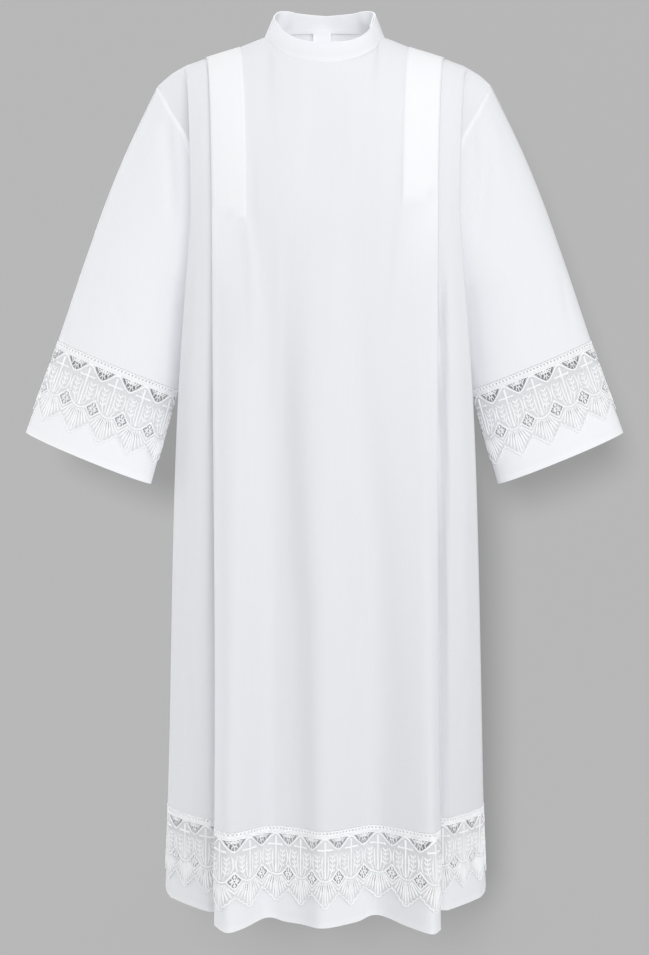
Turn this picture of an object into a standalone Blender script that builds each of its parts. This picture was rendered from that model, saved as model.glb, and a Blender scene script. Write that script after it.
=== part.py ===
"""Alb: a long white vestment, filled out and held up at the neck.

Metres, +Z up, the front faces -Y and +X is the right of a viewer in front.
The origin is the middle of the neck base, level with the shoulder necks.
Every piece of cloth is a thin wall laid through lines that run down the garment.
Left and right in the names of the pieces are the viewer's.
"""
import math

import bmesh
import bpy
import numpy as np
from mathutils import Vector
from mathutils.geometry import delaunay_2d_cdt

# ---------------------------------------------------------------- sizes
CLOTH = 0.0012              # wall of the plain cloth
LACE_WALL = 0.0012          # wall of the corded lace
COLLAR_WALL = 0.0020        # stiffened stand collar
SEAM = 0.0005               # space left between two sewn pieces
LAYER = 0.0015              # space between cloth and what lies on it
WELD = 0.00005              # points closer than this are one

Z_CHEST = -0.28             # stations where the lines of the body are given
Z_WAIST = -0.60
Z_KNEE = -1.00
Z_HEM = -1.38
STATIONS = (Z_CHEST, Z_WAIST, Z_KNEE, Z_HEM)

NECK_X = 0.003              # the collar sits this far off the middle
NECK_HALF = 0.0935          # neck base: half width, front and back depth
NECK_FRONT = 0.090
NECK_BACK = 0.057
NECK_FRONT_DROP = 0.049     # the neck base falls to the front and rises to the back
NECK_FRONT_CURVE = 1.3
NECK_BACK_RISE = 0.0155
NECK_FALL = 0.65            # share of a line's depth that follows its fall below the neck

SHOULDER_SLOPE = 0.305      # shoulder seam: fall per metre outwards
SHOULDER_ROUND_X = 0.200    # it rounds down beyond here
SHOULDER_ROUND = 4.8
SHOULDER_DIP = 0.0036       # it dips a little as it leaves the neck
SHOULDER_DIP_SLOPE = 0.15
SHOULDER_TIP = 0.262
SIDE_SCALE = {-1: 0.993, 1: 1.008}   # the right side stands a little wider

LACE_HEIGHT = 0.122         # braid to the tips of the points
LACE_TO_EDGE = 0.1525       # braid to the edge of the plain band below
Z_LACE = Z_HEM + LACE_TO_EDGE
LACE_PITCH = 0.048          # one medallion to the next
FAN_TOP = 0.097             # below the braid: where the fans begin
FAN_SHOULDER = 0.114        # depth of the points halfway to their tips
BAND_TOP = FAN_TOP + 0.001  # the plain band starts just under the fans
BAND_INSET = 0.0018         # it lies this far inside the lace
CUFF_INSET = 0.0030

SHOULDER_SEAM = 0.0008      # half the space at the shoulder seam
ARM_SEAM = 0.0016           # space at the armhole seam
SLEEVE_SWELL = 0.006        # the sleeve head stands out a little over the arm
SLEEVE_SWELL_RISE = 0.4
SLEEVE_SHARES = (0.0, 0.12, 0.4, 0.7)   # rows between the armhole and the upper arm
SLEEVE_SEAM_DROP = 0.0002   # half the space between sleeve and cuff lace
CUFF_AROUND = 40            # points round the plain cuff band
CUFF_HALF_AROUND = 48       # points along one half of the cuff lace's curves
CUFF_FIRST = 0.038          # first medallion of the cuff, from its outer edge

# Lines of the front, left edge of the tuck to its right edge.
# name, x at shoulder, lift at shoulder, then x and y at chest, waist, knee, hem
FRONT_LINES = (
    ("edge_left", -0.186, 0.0008, -0.171, -0.108, -0.1705, -0.120, -0.169, -0.137, -0.1735, -0.158),
    ("crest_left", -0.160, 0.0008, -0.148, -0.1145, -0.147, -0.130, -0.148, -0.158, -0.1515, -0.188),
    ("stitch_left", -0.1345, 0.0008, -0.119, -0.1195, -0.119, -0.131, -0.121, -0.149, -0.121, -0.168),
    ("trough_left", -0.0935, 0.0, -0.088, -0.1230, -0.088, -0.128, -0.089, -0.132, -0.0895, -0.140),
    ("neck_left", -0.080, 0.0, -0.067, -0.1250, -0.067, -0.131, -0.069, -0.138, -0.0700, -0.148),
    ("slope_left", -0.046, 0.0, -0.040, -0.1264, -0.041, -0.137, -0.043, -0.149, -0.0440, -0.163),
    ("crest_mid", 0.0, 0.0, -0.004, -0.1270, -0.006, -0.142, -0.008, -0.160, -0.0087, -0.179),
    ("slope_right", 0.046, 0.0, 0.038, -0.1264, 0.035, -0.136, 0.034, -0.146, 0.034, -0.156),
    ("neck_right", 0.080, 0.0, 0.064, -0.1250, 0.061, -0.131, 0.060, -0.135, 0.060, -0.138),
    ("trough_right", 0.0935, 0.0, 0.085, -0.1230, 0.082, -0.128, 0.081, -0.130, 0.0815, -0.134),
    ("stitch_right", 0.1345, 0.0008, 0.119, -0.1195, 0.121, -0.130, 0.124, -0.146, 0.126, -0.162),
    ("crest_right", 0.160, 0.0008, 0.149, -0.1145, 0.154, -0.131, 0.160, -0.160, 0.1665, -0.192),
    ("edge_right", 0.188, 0.0008, 0.1725, -0.108, 0.174, -0.121, 0.1775, -0.140, 0.1825, -0.166),
)

# Lines of one side, from under the tuck out to the side seam, x outwards.
SIDE_LINES = (
    ("tuck_under_edge", 0.1858, -0.0031, 0.1708, -0.1041, 0.1695, -0.1130, 0.168, -0.124, 0.168, -0.140),
    ("tuck_under_fold", 0.1345, -0.0031, 0.1195, -0.1156, 0.122, -0.1190, 0.135, -0.121, 0.153, -0.125),
    ("tuck_side_fold", 0.1343, -0.0046, 0.1193, -0.1141, 0.123, -0.1130, 0.138, -0.110, 0.156, -0.110),
    ("side_front", 0.175, -0.0046, 0.160, -0.1055, 0.175, -0.1030, 0.185, -0.099, 0.190, -0.096),
    ("side_middle", 0.200, -0.0020, 0.186, -0.0960, 0.208, -0.0900, 0.219, -0.078, 0.2265, -0.062),
    ("pleat_edge", 0.217, 0.0, 0.2055, -0.0860, 0.2315, -0.0660, 0.2475, -0.045, 0.2535, -0.031),
    ("pleat_under", 0.223, 0.0, 0.2052, -0.0810, 0.2318, -0.0570, 0.2485, -0.030, 0.2640, 0.000),
    ("pleat_fold", 0.230, 0.0, 0.1880, -0.0770, 0.2180, -0.0430, 0.2440, -0.012, 0.2680, 0.028),
    ("side_wall", 0.240, 0.0, 0.1860, -0.0700, 0.2140, -0.0320, 0.2410, 0.002, 0.2670, 0.047),
)
SIDE_SEAM = ("side_seam", SHOULDER_TIP, 0.0, 0.190, -0.056, 0.2140, 0.0050, 0.2420, 0.030, 0.2620, 0.070)

# Lines of the back, x outwards, from the side to the middle.
BACK_LINES = (
    ("back_side", 0.236, 0.0, 0.188, 0.088, 0.2160, 0.062, 0.2440, 0.080, 0.2555, 0.106),
    ("back_outer", 0.190, 0.0, 0.150, 0.112, 0.1700, 0.104, 0.1900, 0.128, 0.2050, 0.158),
    ("back_valley", 0.130, 0.0, 0.100, 0.120, 0.1100, 0.116, 0.1220, 0.130, 0.1350, 0.142),
    ("back_neck", 0.0935, 0.0, 0.075, 0.122, 0.0800, 0.119, 0.0900, 0.138, 0.1000, 0.160),
    ("back_inner", 0.075, 0.0, 0.050, 0.124, 0.0550, 0.122, 0.0620, 0.147, 0.0700, 0.176),
    ("back_slope", 0.040, 0.0, 0.025, 0.1255, 0.0280, 0.123, 0.0310, 0.142, 0.0350, 0.165),
)
BACK_MIDDLE = ("back_middle", 0.0, 0.0, 0.0, 0.126, 0.0, 0.124, 0.0, 0.136, 0.0, 0.150)

# The hem edge hangs a little low on the crests and high in the troughs.
HEM_LIFT = {"crest_left": -0.003, "trough_left": 0.006, "trough_right": 0.0075,
            "crest_right": -0.0035, "edge_right": -0.004}

LACE_SIDE_CLEAR = 0.004     # no gap comes closer to the ends of a strip
LACE_ENDS = (0.0, 0.033, 0.066, FAN_TOP)   # points down the ends of a strip
LACE_INNER = (0.3 * FAN_TOP, 0.65 * FAN_TOP)   # points down the middle of a medallion
LACE_QUARTER_CLEAR = 0.3    # quarter repeats left free at the ends

# Gaps cut through each repeat of the lace: middle across in repeats, middle
# down, half width and half height of a lozenge
LACE_GAPS = (
    (0.50, 0.0200, 0.105, 0.0065),
    (0.50, 0.0640, 0.085, 0.0060),
    (0.36, 0.0765, 0.085, 0.0065),
    (0.64, 0.0765, 0.085, 0.0065),
    (0.50, 0.0885, 0.080, 0.0060),
)

# Stand collar, from the middle of the front round to the middle of the back:
# angle, height of the top edge, how far its top leans in
COLLAR_TOP = (
    (0, -0.0175, 0.0150),
    (30, -0.0100, 0.0150),
    (60, 0.0130, 0.0155),
    (90, 0.0360, 0.0155),
    (130, 0.0455, 0.0080),
    (155, 0.0440, 0.0040),
    (180, 0.0420, 0.0020),
)
COLLAR_ROWS = (0.0, 0.5, 1.0)
COLLAR_OVERLAP = 1          # points of the neck ring under the collar's outer end
COLLAR_SEAM = 0.0009        # space between the collar and the neck edge

LABEL_X = (-0.0184, 0.0104)   # left and right, then depth, then lower and upper edge
LABEL_Y = 0.0532
LABEL_Z = (0.0005, 0.0148)
LABEL_WALL = 0.0006

# Armhole, from the shoulder tip down to the underarm: z, x outwards, y front, y back
ARMHOLE = (
    (-0.0740, 0.2620, 0.000, 0.000),
    (-0.0885, 0.2530, -0.017, 0.017),
    (-0.1180, 0.2370, -0.033, 0.034),
    (-0.1630, 0.2115, -0.047, 0.051),
    (-0.2200, 0.1960, -0.055, 0.063),
    (-0.2800, 0.1900, -0.056, 0.068),
    (-0.3400, 0.1895, -0.046, 0.060),
    (-0.3850, 0.1920, -0.024, 0.036),
    (-0.4020, 0.1935, 0.005, 0.005),
)

# Sleeve sections: x outwards and z of the middle, half width, half depth
SLEEVE_TILT = math.radians(22.5)
SLEEVE_Y = 0.005
SLEEVE_SECTIONS = {
    "upper": (0.2897, -0.3841, 0.0986, 0.055),
    "braid": (0.3303, -0.5128, 0.1032, 0.046),
    "edge": (0.3800, -0.6625, 0.1100, 0.043),
}

UPPER_ANGLES = (0, 15, 31, 49, 69, 90)                # rows from shoulder to chest
LOWER_LEVELS = (-0.345, -0.386, -0.402, -0.50, -0.60, -0.78, -1.0, Z_LACE)

# Each panel is one cut of cloth, held as three lengths so that its hollow
# stays open: name, its highest and its lowest row
PANEL_LENGTHS = (
    ("top", ("upper", 0), ("lower", -0.402)),
    ("middle", ("lower", -0.402), ("lower", -0.78)),
    ("skirt", ("lower", -0.78), ("lower", Z_LACE)),
)
ROW_STEPS = 2               # points a span of a panel's row
CURVE_STEPS = 6             # points a span of the curves that are only read from

# Runs of lines between two turns of the cloth, from the side seam inwards.
SIDE_RUNS = (
    ("side_seam", "side_wall"),
    ("pleat_fold", "pleat_under"),
    ("pleat_edge", "side_middle", "side_front", "tuck_side_fold"),
    ("tuck_under_fold", "tuck_under_edge"),
)


# ---------------------------------------------------------------- curves
def smooth_path(points, per_span):
    """Points on a Catmull-Rom curve through the given ones."""
    points = [np.array(p, dtype=float) for p in points]
    ends = [2 * points[0] - points[1]] + points + [2 * points[-1] - points[-2]]
    path = []
    for k in range(1, len(ends) - 2):
        a, b, c, d = ends[k - 1:k + 3]
        for step in range(per_span):
            t = step / per_span
            path.append(0.5 * (2 * b + (c - a) * t + (2 * a - 5 * b + 4 * c - d) * t * t
                               + (3 * b - a - 3 * c + d) * t ** 3))
    path.append(points[-1])
    return path


def at_stations(values, z):
    """A value given at the four stations, read at height z."""
    path = smooth_path(list(zip(STATIONS, values)), 2 * CURVE_STEPS)
    heights = [-p[0] for p in path]
    return float(np.interp(-z, heights, [p[1] for p in path]))


def shoulder_height(x):
    """Height of the shoulder seam at x outwards."""
    beyond = max(0.0, x - SHOULDER_ROUND_X)
    dip = min(SHOULDER_DIP, SHOULDER_DIP_SLOPE * (x - NECK_HALF))
    return -dip - SHOULDER_SLOPE * (x - NECK_HALF) - SHOULDER_ROUND * beyond ** 2


def top_point(x, lift, front):
    """Where a line starts: on the neck edge or on the shoulder seam."""
    out = abs(x)
    if out >= NECK_HALF:
        return np.array((x, 0.0, shoulder_height(out) + lift))
    cosine = math.sqrt(1 - (out / NECK_HALF) ** 2)
    if front:
        drop = NECK_FRONT_DROP * cosine ** NECK_FRONT_CURVE
        return np.array((x + NECK_X * cosine, -NECK_FRONT * cosine, -drop))
    return np.array((x + NECK_X * cosine, NECK_BACK * cosine, NECK_BACK_RISE * cosine))


def armhole_path(side, front):
    """The armhole's front or back half, shoulder tip to underarm."""
    points = [(side * x, yf if front else yb, z) for z, x, yf, yb in ARMHOLE]
    return smooth_path(points, CURVE_STEPS)


def armhole_at(side, front, z):
    """Point of the armhole at height z."""
    path = armhole_path(side, front)
    heights = [-p[2] for p in path]
    x = np.interp(-z, heights, [p[0] for p in path])
    y = np.interp(-z, heights, [p[1] for p in path])
    return np.array((x, y, z))


def line_point(line, side, row, front=True):
    """A line's point at a row: ("upper", angle) or ("lower", z)."""
    name, x_top, lift = line[:3]
    xs = [side * x for x in line[3::2]]
    ys = line[4::2]
    kind, value = row
    if name == "side_seam":
        return seam_point(line, side, row, front)
    if kind == "lower":
        return np.array((at_stations(xs, value), at_stations(ys, value), value))
    start = top_point(side * x_top, lift, front)
    turn = math.radians(value)
    across, down = math.sin(turn), 1 - math.cos(turn)
    fall = NECK_FALL * max(0.0, 1 - abs(start[0]) / NECK_HALF)
    forward = across * (1 - fall) + down * fall
    x = start[0] + (xs[0] - start[0]) * across
    y = start[1] + (ys[0] - start[1]) * forward
    z = start[2] + (Z_CHEST - start[2]) * down
    return np.array((x, y, z))


def seam_point(line, side, row, front):
    """The outer edge of front and back: armhole first, side seam below it."""
    kind, value = row
    z_tip, z_under = ARMHOLE[0][0], ARMHOLE[-1][0]
    z = value if kind == "lower" else z_tip + (Z_CHEST - z_tip) * (1 - math.cos(math.radians(value)))
    if z > z_under:
        return armhole_at(side, front, z)
    _, x_under, y_under, _ = ARMHOLE[-1]
    rows = [(z_under, x_under, y_under)]
    rows += [(level, line[5 + 2 * k], line[6 + 2 * k]) for k, level in enumerate(STATIONS[1:])]
    path = smooth_path(rows, CURVE_STEPS)
    heights = [-p[0] for p in path]
    x = np.interp(-z, heights, [p[1] for p in path])
    y = np.interp(-z, heights, [p[2] for p in path])
    return np.array((side * x, y, z))


def front_row(row):
    """The front's lines at one row, left side seam to right side seam."""
    def one_side(side):
        points = [line_point(SIDE_SEAM, side, row)]
        scaled = [line_point(line, side * SIDE_SCALE[side], row) for line in reversed(SIDE_LINES)]
        return points + scaled
    middle = [line_point(line, 1, row) for line in FRONT_LINES]
    return one_side(-1) + middle + one_side(1)[::-1]


def back_row(row):
    """The back's lines at one row, right side seam to left side seam."""
    def one_side(side):
        lines = [line_point(line, side * SIDE_SCALE[side], row, False) for line in BACK_LINES]
        return [line_point(SIDE_SEAM, side, row, False)] + lines
    return one_side(1) + [line_point(BACK_MIDDLE, 1, row, False)] + one_side(-1)[::-1]


def run_lengths(points):
    """Distance along a run of points, from its start to each."""
    steps = [0.0] + [float(np.linalg.norm(b - a)) for a, b in zip(points, points[1:])]
    return np.cumsum(steps)


def along(points, lengths, s):
    """Point at distance s along a run."""
    return np.array([np.interp(s, lengths, [p[k] for p in points]) for k in range(3)])


def line_names(front):
    """Names of a row's lines, in the order of the row."""
    if front:
        side = [line[0] for line in SIDE_LINES] + ["side_seam"]
        return side[::-1] + [line[0] for line in FRONT_LINES] + side
    side = ["side_seam"] + [line[0] for line in BACK_LINES]
    return side + ["back_middle"] + side[::-1]


def smooth_between(points, corners, per_span):
    """A smooth path that may turn sharply at the corners."""
    stops = [0] + sorted(corners) + [len(points) - 1]
    path = []
    for start, stop in zip(stops, stops[1:]):
        path += smooth_path(points[start:stop + 1], per_span)[:-1]
    return path + [points[-1]]


def drawn_row(row, front):
    """A body row drawn smooth within each run of cloth between two turns."""
    top = row == ("upper", 0)
    if not front:
        names = line_names(False)
        necks = [k for k, name in enumerate(names) if name == "back_neck" and top]
        return smooth_between(back_row(row), necks, ROW_STEPS)
    points = front_row(row)
    names = [line[0] for line in FRONT_LINES]
    necks = [k for k, name in enumerate(names) if name.startswith("trough") and top]
    sizes = [len(run) for run in SIDE_RUNS]
    sizes = sizes + [len(FRONT_LINES)] + sizes[::-1]
    drawn, start = [], 0
    for size in sizes:
        run = points[start:start + size]
        if size > 2:
            run = smooth_between(run, necks if size == len(FRONT_LINES) else [], ROW_STEPS)
        drawn += run
        start += size
    return drawn


# ---------------------------------------------------------------- meshes
def material(name, colour, roughness):
    """Plain finish of one kind of cloth."""
    finish = bpy.data.materials.new(name)
    finish.use_nodes = True
    shader = finish.node_tree.nodes["Principled BSDF"]
    shader.inputs["Base Color"].default_value = (*colour, 1.0)
    shader.inputs["Roughness"].default_value = roughness
    shader.inputs["Metallic"].default_value = 0.0
    finish.diffuse_color = (*colour, 1.0)
    return finish


def add_wall(name, points, faces, thickness, finish, outward, inset=0.0):
    """Cloth wall: outer skin through the points, thickness inside it.

    outward is a point and a direction: the faces are turned so that the skin
    nearest the point looks that way.
    """
    bm = bmesh.new()
    verts = [bm.verts.new(Vector(p)) for p in points]
    for face in faces:
        bm.faces.new([verts[k] for k in face])
    bmesh.ops.remove_doubles(bm, verts=bm.verts, dist=WELD)
    bmesh.ops.recalc_face_normals(bm, faces=bm.faces)
    place, direction = Vector(outward[0]), Vector(outward[1])
    nearest = min(bm.faces, key=lambda f: (f.calc_center_median() - place).length)
    if nearest.normal.dot(direction) < 0:
        bmesh.ops.reverse_faces(bm, faces=bm.faces)
    bm.normal_update()
    for v in bm.verts:
        v.co -= v.normal * inset
    mesh = bpy.data.meshes.new(name)
    bm.to_mesh(mesh)
    bm.free()
    obj = bpy.data.objects.new(name, mesh)
    bpy.context.collection.objects.link(obj)
    mesh.materials.append(finish)
    mesh.shade_smooth()
    solid = obj.modifiers.new("wall", "SOLIDIFY")
    solid.thickness = thickness
    solid.offset = -1.0
    solid.use_even_offset = True
    solid.use_rim = True
    return obj


def grid_faces(rows, columns, closed=False):
    """Quads of a grid of points, row by row."""
    faces = []
    spans = columns if closed else columns - 1
    for j in range(rows - 1):
        for i in range(spans):
            k = (i + 1) % columns
            faces.append((j * columns + i, j * columns + k, (j + 1) * columns + k, (j + 1) * columns + i))
    return faces


def body_rows():
    """Rows of the front and back panels."""
    return [("upper", a) for a in UPPER_ANGLES] + [("lower", z) for z in LOWER_LEVELS]


def trim_run(points, gap):
    """A run of points drawn in at both ends by a gap."""
    points = list(points)
    for end, beside in ((0, 1), (-1, -2)):
        reach = points[beside] - points[end]
        points[end] = points[end] + reach * (gap / np.linalg.norm(reach))
    return points


def shoulder_gap(x):
    """Half the space at the shoulder seam, wider where the tip rounds down."""
    beyond = max(0.0, abs(x) - SHOULDER_ROUND_X)
    return SHOULDER_SEAM * (1 + beyond / (SHOULDER_TIP - SHOULDER_ROUND_X))


def build_panel(name, front, cloth):
    """Front or back of the body, neck and shoulders down to the lace."""
    away = -1 if front else 1
    rows = body_rows()
    for part, first, last in PANEL_LENGTHS:
        part_rows = rows[rows.index(first):rows.index(last) + 1]
        points = []
        for row in part_rows:
            run = trim_run(drawn_row(row, front), SEAM)
            if row == rows[0]:
                run = [p + np.array((0, away * shoulder_gap(p[0]), 0)) for p in run]
            elif row == first:
                run = [p - np.array((0, 0, SEAM / 2)) for p in run]
            elif row == last:
                run = [p + np.array((0, 0, SEAM / 2)) for p in run]
            points += run
        columns = len(points) // len(part_rows)
        middle = sum(p[2] for p in points) / len(points)
        look = ((0, away * 0.14, middle), (0, away, 0))
        add_wall(name + "_" + part, points, grid_faces(len(part_rows), columns), CLOTH, cloth, look)


# ---------------------------------------------------------------- hem and cuffs
class Ribbon:
    """A strip of cloth round an edge, ruled from its top curve to its bottom curve."""

    def __init__(self, top, bottom):
        self.top = top
        self.bottom = bottom
        middle = [(a + b) / 2 for a, b in zip(top, bottom)]
        self.lengths = run_lengths(middle)
        self.length = float(self.lengths[-1])

    def point(self, s, depth):
        """Point at distance s along and depth below the top curve."""
        share = depth / LACE_TO_EDGE
        return along(self.top, self.lengths, s) * (1 - share) + along(self.bottom, self.lengths, s) * share


def hem_curve(row, z):
    """A smooth curve through a body row's lines, at the lace or at the edge."""
    return smooth_path(trim_run(row(("lower", z)), SEAM), CURVE_STEPS)


def hem_lift_run(names):
    """How far each point of the hem edge lifts."""
    lifts = [np.array((0.0, 0.0, HEM_LIFT.get(name, 0.0))) for name in names]
    return smooth_path(lifts, CURVE_STEPS)


def hem_ribbon(row, front):
    """The strip from the skirt's lower edge to the hem."""
    top = [p - np.array((0, 0, SEAM / 2)) for p in hem_curve(row, Z_LACE)]
    bottom = [p + lift for p, lift in zip(hem_curve(row, Z_HEM), hem_lift_run(line_names(front)))]
    return Ribbon(top, bottom)


def sleeve_section(side, name, angle):
    """Point of a sleeve section: 0 is its outer edge, 90 its front."""
    x, z, half, depth = SLEEVE_SECTIONS[name]
    turn = math.radians(angle)
    across = half * math.cos(turn)
    return np.array((side * (x + across * math.cos(SLEEVE_TILT)),
                     SLEEVE_Y - depth * math.sin(turn),
                     z + across * math.sin(SLEEVE_TILT)))


def cuff_ribbon(side, front):
    """Front or back half of the strip round a cuff, outer edge to inner edge."""
    angles = [k * 180 / CUFF_HALF_AROUND for k in range(CUFF_HALF_AROUND + 1)]
    if not front:
        angles = [-a for a in angles]
    down = SLEEVE_SEAM_DROP
    top = [sleeve_section(side, "braid", a) + down * np.array((side, 0, -1)) for a in angles]
    bottom = [sleeve_section(side, "edge", a) for a in angles]
    return Ribbon(trim_run(top, SEAM), trim_run(bottom, SEAM))


def fan_depth(u):
    """Depth of the lace's pointed edge, u in repeats from a medallion's middle."""
    share = abs(u - round(u)) * 2
    if share < 0.5:
        return LACE_HEIGHT + (FAN_SHOULDER - LACE_HEIGHT) * share * 2
    return FAN_SHOULDER + (FAN_TOP - FAN_SHOULDER) * (share * 2 - 1)


def inside(point, ring):
    """Whether a point lies in a convex ring."""
    turns = []
    for (x1, y1), (x2, y2) in zip(ring, ring[1:] + ring[:1]):
        turns.append((x2 - x1) * (point[1] - y1) - (y2 - y1) * (point[0] - x1))
    return all(t > 0 for t in turns) or all(t < 0 for t in turns)


def strip_stations(length, first_middle):
    """Distances along a strip: its ends and every quarter of a repeat between."""
    quarter = LACE_PITCH / 4
    start = math.ceil(-first_middle / quarter + LACE_QUARTER_CLEAR)
    stop = math.floor((length - first_middle) / quarter - LACE_QUARTER_CLEAR)
    return [0.0] + [first_middle + k * quarter for k in range(start, stop + 1)] + [length]


def lace_pattern(length, first_middle):
    """Triangles of a lace strip laid flat, with its gaps and its pointed edge.

    first_middle is the distance along to a medallion's middle.
    """
    stations = strip_stations(length, first_middle)
    points, edges, gaps = [], [], []

    def add(chain, closed=False):
        base = len(points)
        points.extend(chain)
        edges.extend((base + k, base + k + 1) for k in range(len(chain) - 1))
        if closed:
            edges.append((base + len(chain) - 1, base))

    add([(s, 0.0) for s in stations])
    add([(s, FAN_TOP) for s in stations])
    outline = [(s, fan_depth((s - first_middle) / LACE_PITCH)) for s in stations]
    add(outline)
    for s, depth in outline:
        if depth > BAND_TOP:
            add([(s, FAN_TOP), (s, depth)])
    for s in (0.0, length):
        add([(s, depth) for depth in LACE_ENDS])
    first = math.floor(-first_middle / LACE_PITCH) - 1
    for k in range(first, first + int(length / LACE_PITCH) + 4):
        origin = first_middle + k * LACE_PITCH
        if LACE_PITCH / 5 < origin < length - LACE_PITCH / 5:
            points.extend((origin, depth) for depth in LACE_INNER)
        for u, t, half, rise in LACE_GAPS:
            s = origin + u * LACE_PITCH
            half *= LACE_PITCH
            if s - half < LACE_SIDE_CLEAR or s + half > length - LACE_SIDE_CLEAR:
                continue
            ring = [(s - half, t), (s, t - rise), (s + half, t), (s, t + rise)]
            gaps.append(ring)
            add(ring, True)

    flat = [Vector(p) for p in points]
    verts, _, faces, *_ = delaunay_2d_cdt(flat, edges, [], 0, WELD / 2)
    kept = []
    for face in faces:
        x = sum(verts[k].x for k in face) / len(face)
        y = sum(verts[k].y for k in face) / len(face)
        beyond = y > fan_depth((x - first_middle) / LACE_PITCH)
        if not beyond and not any(inside((x, y), ring) for ring in gaps):
            kept.append(tuple(face))
    return [(v.x, v.y) for v in verts], kept, len(gaps)


def build_lace(name, ribbon, first_middle, finish, look):
    """Openwork strip with its points lying on the plain band."""
    flat, faces, gaps = lace_pattern(ribbon.length, first_middle)
    points = [ribbon.point(s, depth) for s, depth in flat]
    add_wall(name, points, faces, LACE_WALL, finish, look)
    return gaps


def build_band(name, ribbon, first_middle, finish, look):
    """Plain band under the lace points, down to the edge."""
    stations = strip_stations(ribbon.length, first_middle)
    depths = (BAND_TOP, LACE_TO_EDGE)
    points = [ribbon.point(s, depth) for depth in depths for s in stations]
    add_wall(name, points, grid_faces(len(depths), len(stations)), CLOTH, finish, look, BAND_INSET)


def build_hem(lace, cloth):
    """Lace and band round the hem, front and back."""
    gaps = 0
    for name, row, front, y in (("front", front_row, True, -0.18), ("back", back_row, False, 0.16)):
        ribbon = hem_ribbon(row, front)
        names = line_names(front)
        middle_line = names.index("crest_mid" if front else "back_middle")
        middle = float(ribbon.lengths[middle_line * CURVE_STEPS])
        first_middle = middle % LACE_PITCH
        look = ((0, y, -1.3), (0, math.copysign(1, y), 0))
        gaps += build_lace("hem_lace_" + name, ribbon, first_middle, lace, look)
        build_band("hem_band_" + name, ribbon, first_middle, cloth, look)
    return gaps


def armhole_ring(side):
    """Armhole points where the body's rows end, with the sleeve angle of each."""
    rows = [row for row in body_rows() if row[0] == "upper" or row[1] >= ARMHOLE[-1][0]]
    halves = []
    for front in (True, False):
        points = [seam_point(SIDE_SEAM, side, row, front) for row in rows]
        lengths = run_lengths(points)
        turns = [180 * share / lengths[-1] for share in lengths]
        points = [p + np.array((side * ARM_SEAM, 0, 0)) for p in points]
        halves.append((points, turns if front else [360 - t for t in turns]))
    (front, front_turns), (back, back_turns) = halves
    return front + back[-2:0:-1], front_turns + back_turns[-2:0:-1]


def build_sleeve(side, cloth, lace):
    """Sleeve, with the lace and band round its cuff."""
    word = "left" if side < 0 else "right"
    ring, angles = armhole_ring(side)
    upper = [sleeve_section(side, "upper", a) for a in angles]
    braid = [sleeve_section(side, "braid", a) - SLEEVE_SEAM_DROP * np.array((side, 0, -1)) for a in angles]
    rows = []
    for share in SLEEVE_SHARES:
        row = []
        for start, stop, angle in zip(ring, upper, angles):
            reach = stop - start
            point = start + reach * max(share, ARM_SEAM / np.linalg.norm(reach))
            swell = SLEEVE_SWELL * math.sin(math.pi * share) * max(0.0, math.cos(math.radians(angle)))
            row.append(point + swell * np.array((side, 0, SLEEVE_SWELL_RISE)))
        rows.append(row)
    rows += [upper, braid]
    points = [p for row in rows for p in row]
    look = ((side * 0.30, -0.05, -0.38), (0, -1, 0))
    add_wall("sleeve_" + word, points, grid_faces(len(rows), len(angles), True), CLOTH, cloth, look)
    gaps = 0
    for part, is_front in (("front", True), ("back", False)):
        ribbon = cuff_ribbon(side, is_front)
        look = ((side * 0.35, -0.05 if is_front else 0.05, -0.58), (0, -1 if is_front else 1, 0))
        gaps += build_lace("cuff_lace_%s_%s" % (word, part), ribbon, CUFF_FIRST, lace, look)
    band = []
    stations = [k * 360 / CUFF_AROUND for k in range(CUFF_AROUND)]
    for depth in (BAND_TOP, LACE_TO_EDGE):
        share = depth / LACE_TO_EDGE
        band += [sleeve_section(side, "braid", a) * (1 - share) + sleeve_section(side, "edge", a) * share
                 for a in stations]
    look = ((side * 0.37, -0.05, -0.65), (0, -1, 0))
    add_wall("cuff_band_" + word, band, grid_faces(2, len(stations), True), CLOTH, cloth, look, CUFF_INSET)
    return gaps


# ---------------------------------------------------------------- neck
def neck_ring():
    """Neck edge of front and back, from the right shoulder neck round by the front."""
    front = drawn_row(("upper", 0), True)
    back = drawn_row(("upper", 0), False)
    near = NECK_HALF + WELD
    front = [p for p in front if abs(p[0]) < near and p[2] < WELD][::-1]
    back = [p for p in back if abs(p[0]) < near][::-1]
    return front + back[1:-1]


def collar_column(base):
    """Top of the collar above a point of its base, and the way to its inside."""
    turn = math.degrees(math.atan2(abs(base[0] - NECK_X) / NECK_HALF,
                                   -base[1] / (NECK_FRONT if base[1] < 0 else NECK_BACK)))
    path = smooth_path(COLLAR_TOP, CURVE_STEPS)
    turns = [p[0] for p in path]
    height = np.interp(turn, turns, [p[1] for p in path])
    lean = np.interp(turn, turns, [p[2] for p in path])
    inward = np.array((NECK_X - base[0], (NECK_BACK - NECK_FRONT) / 2 - base[1], 0))
    inward = inward / np.linalg.norm(inward)
    top = base + inward * lean
    top[2] = height
    return top, inward


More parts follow.
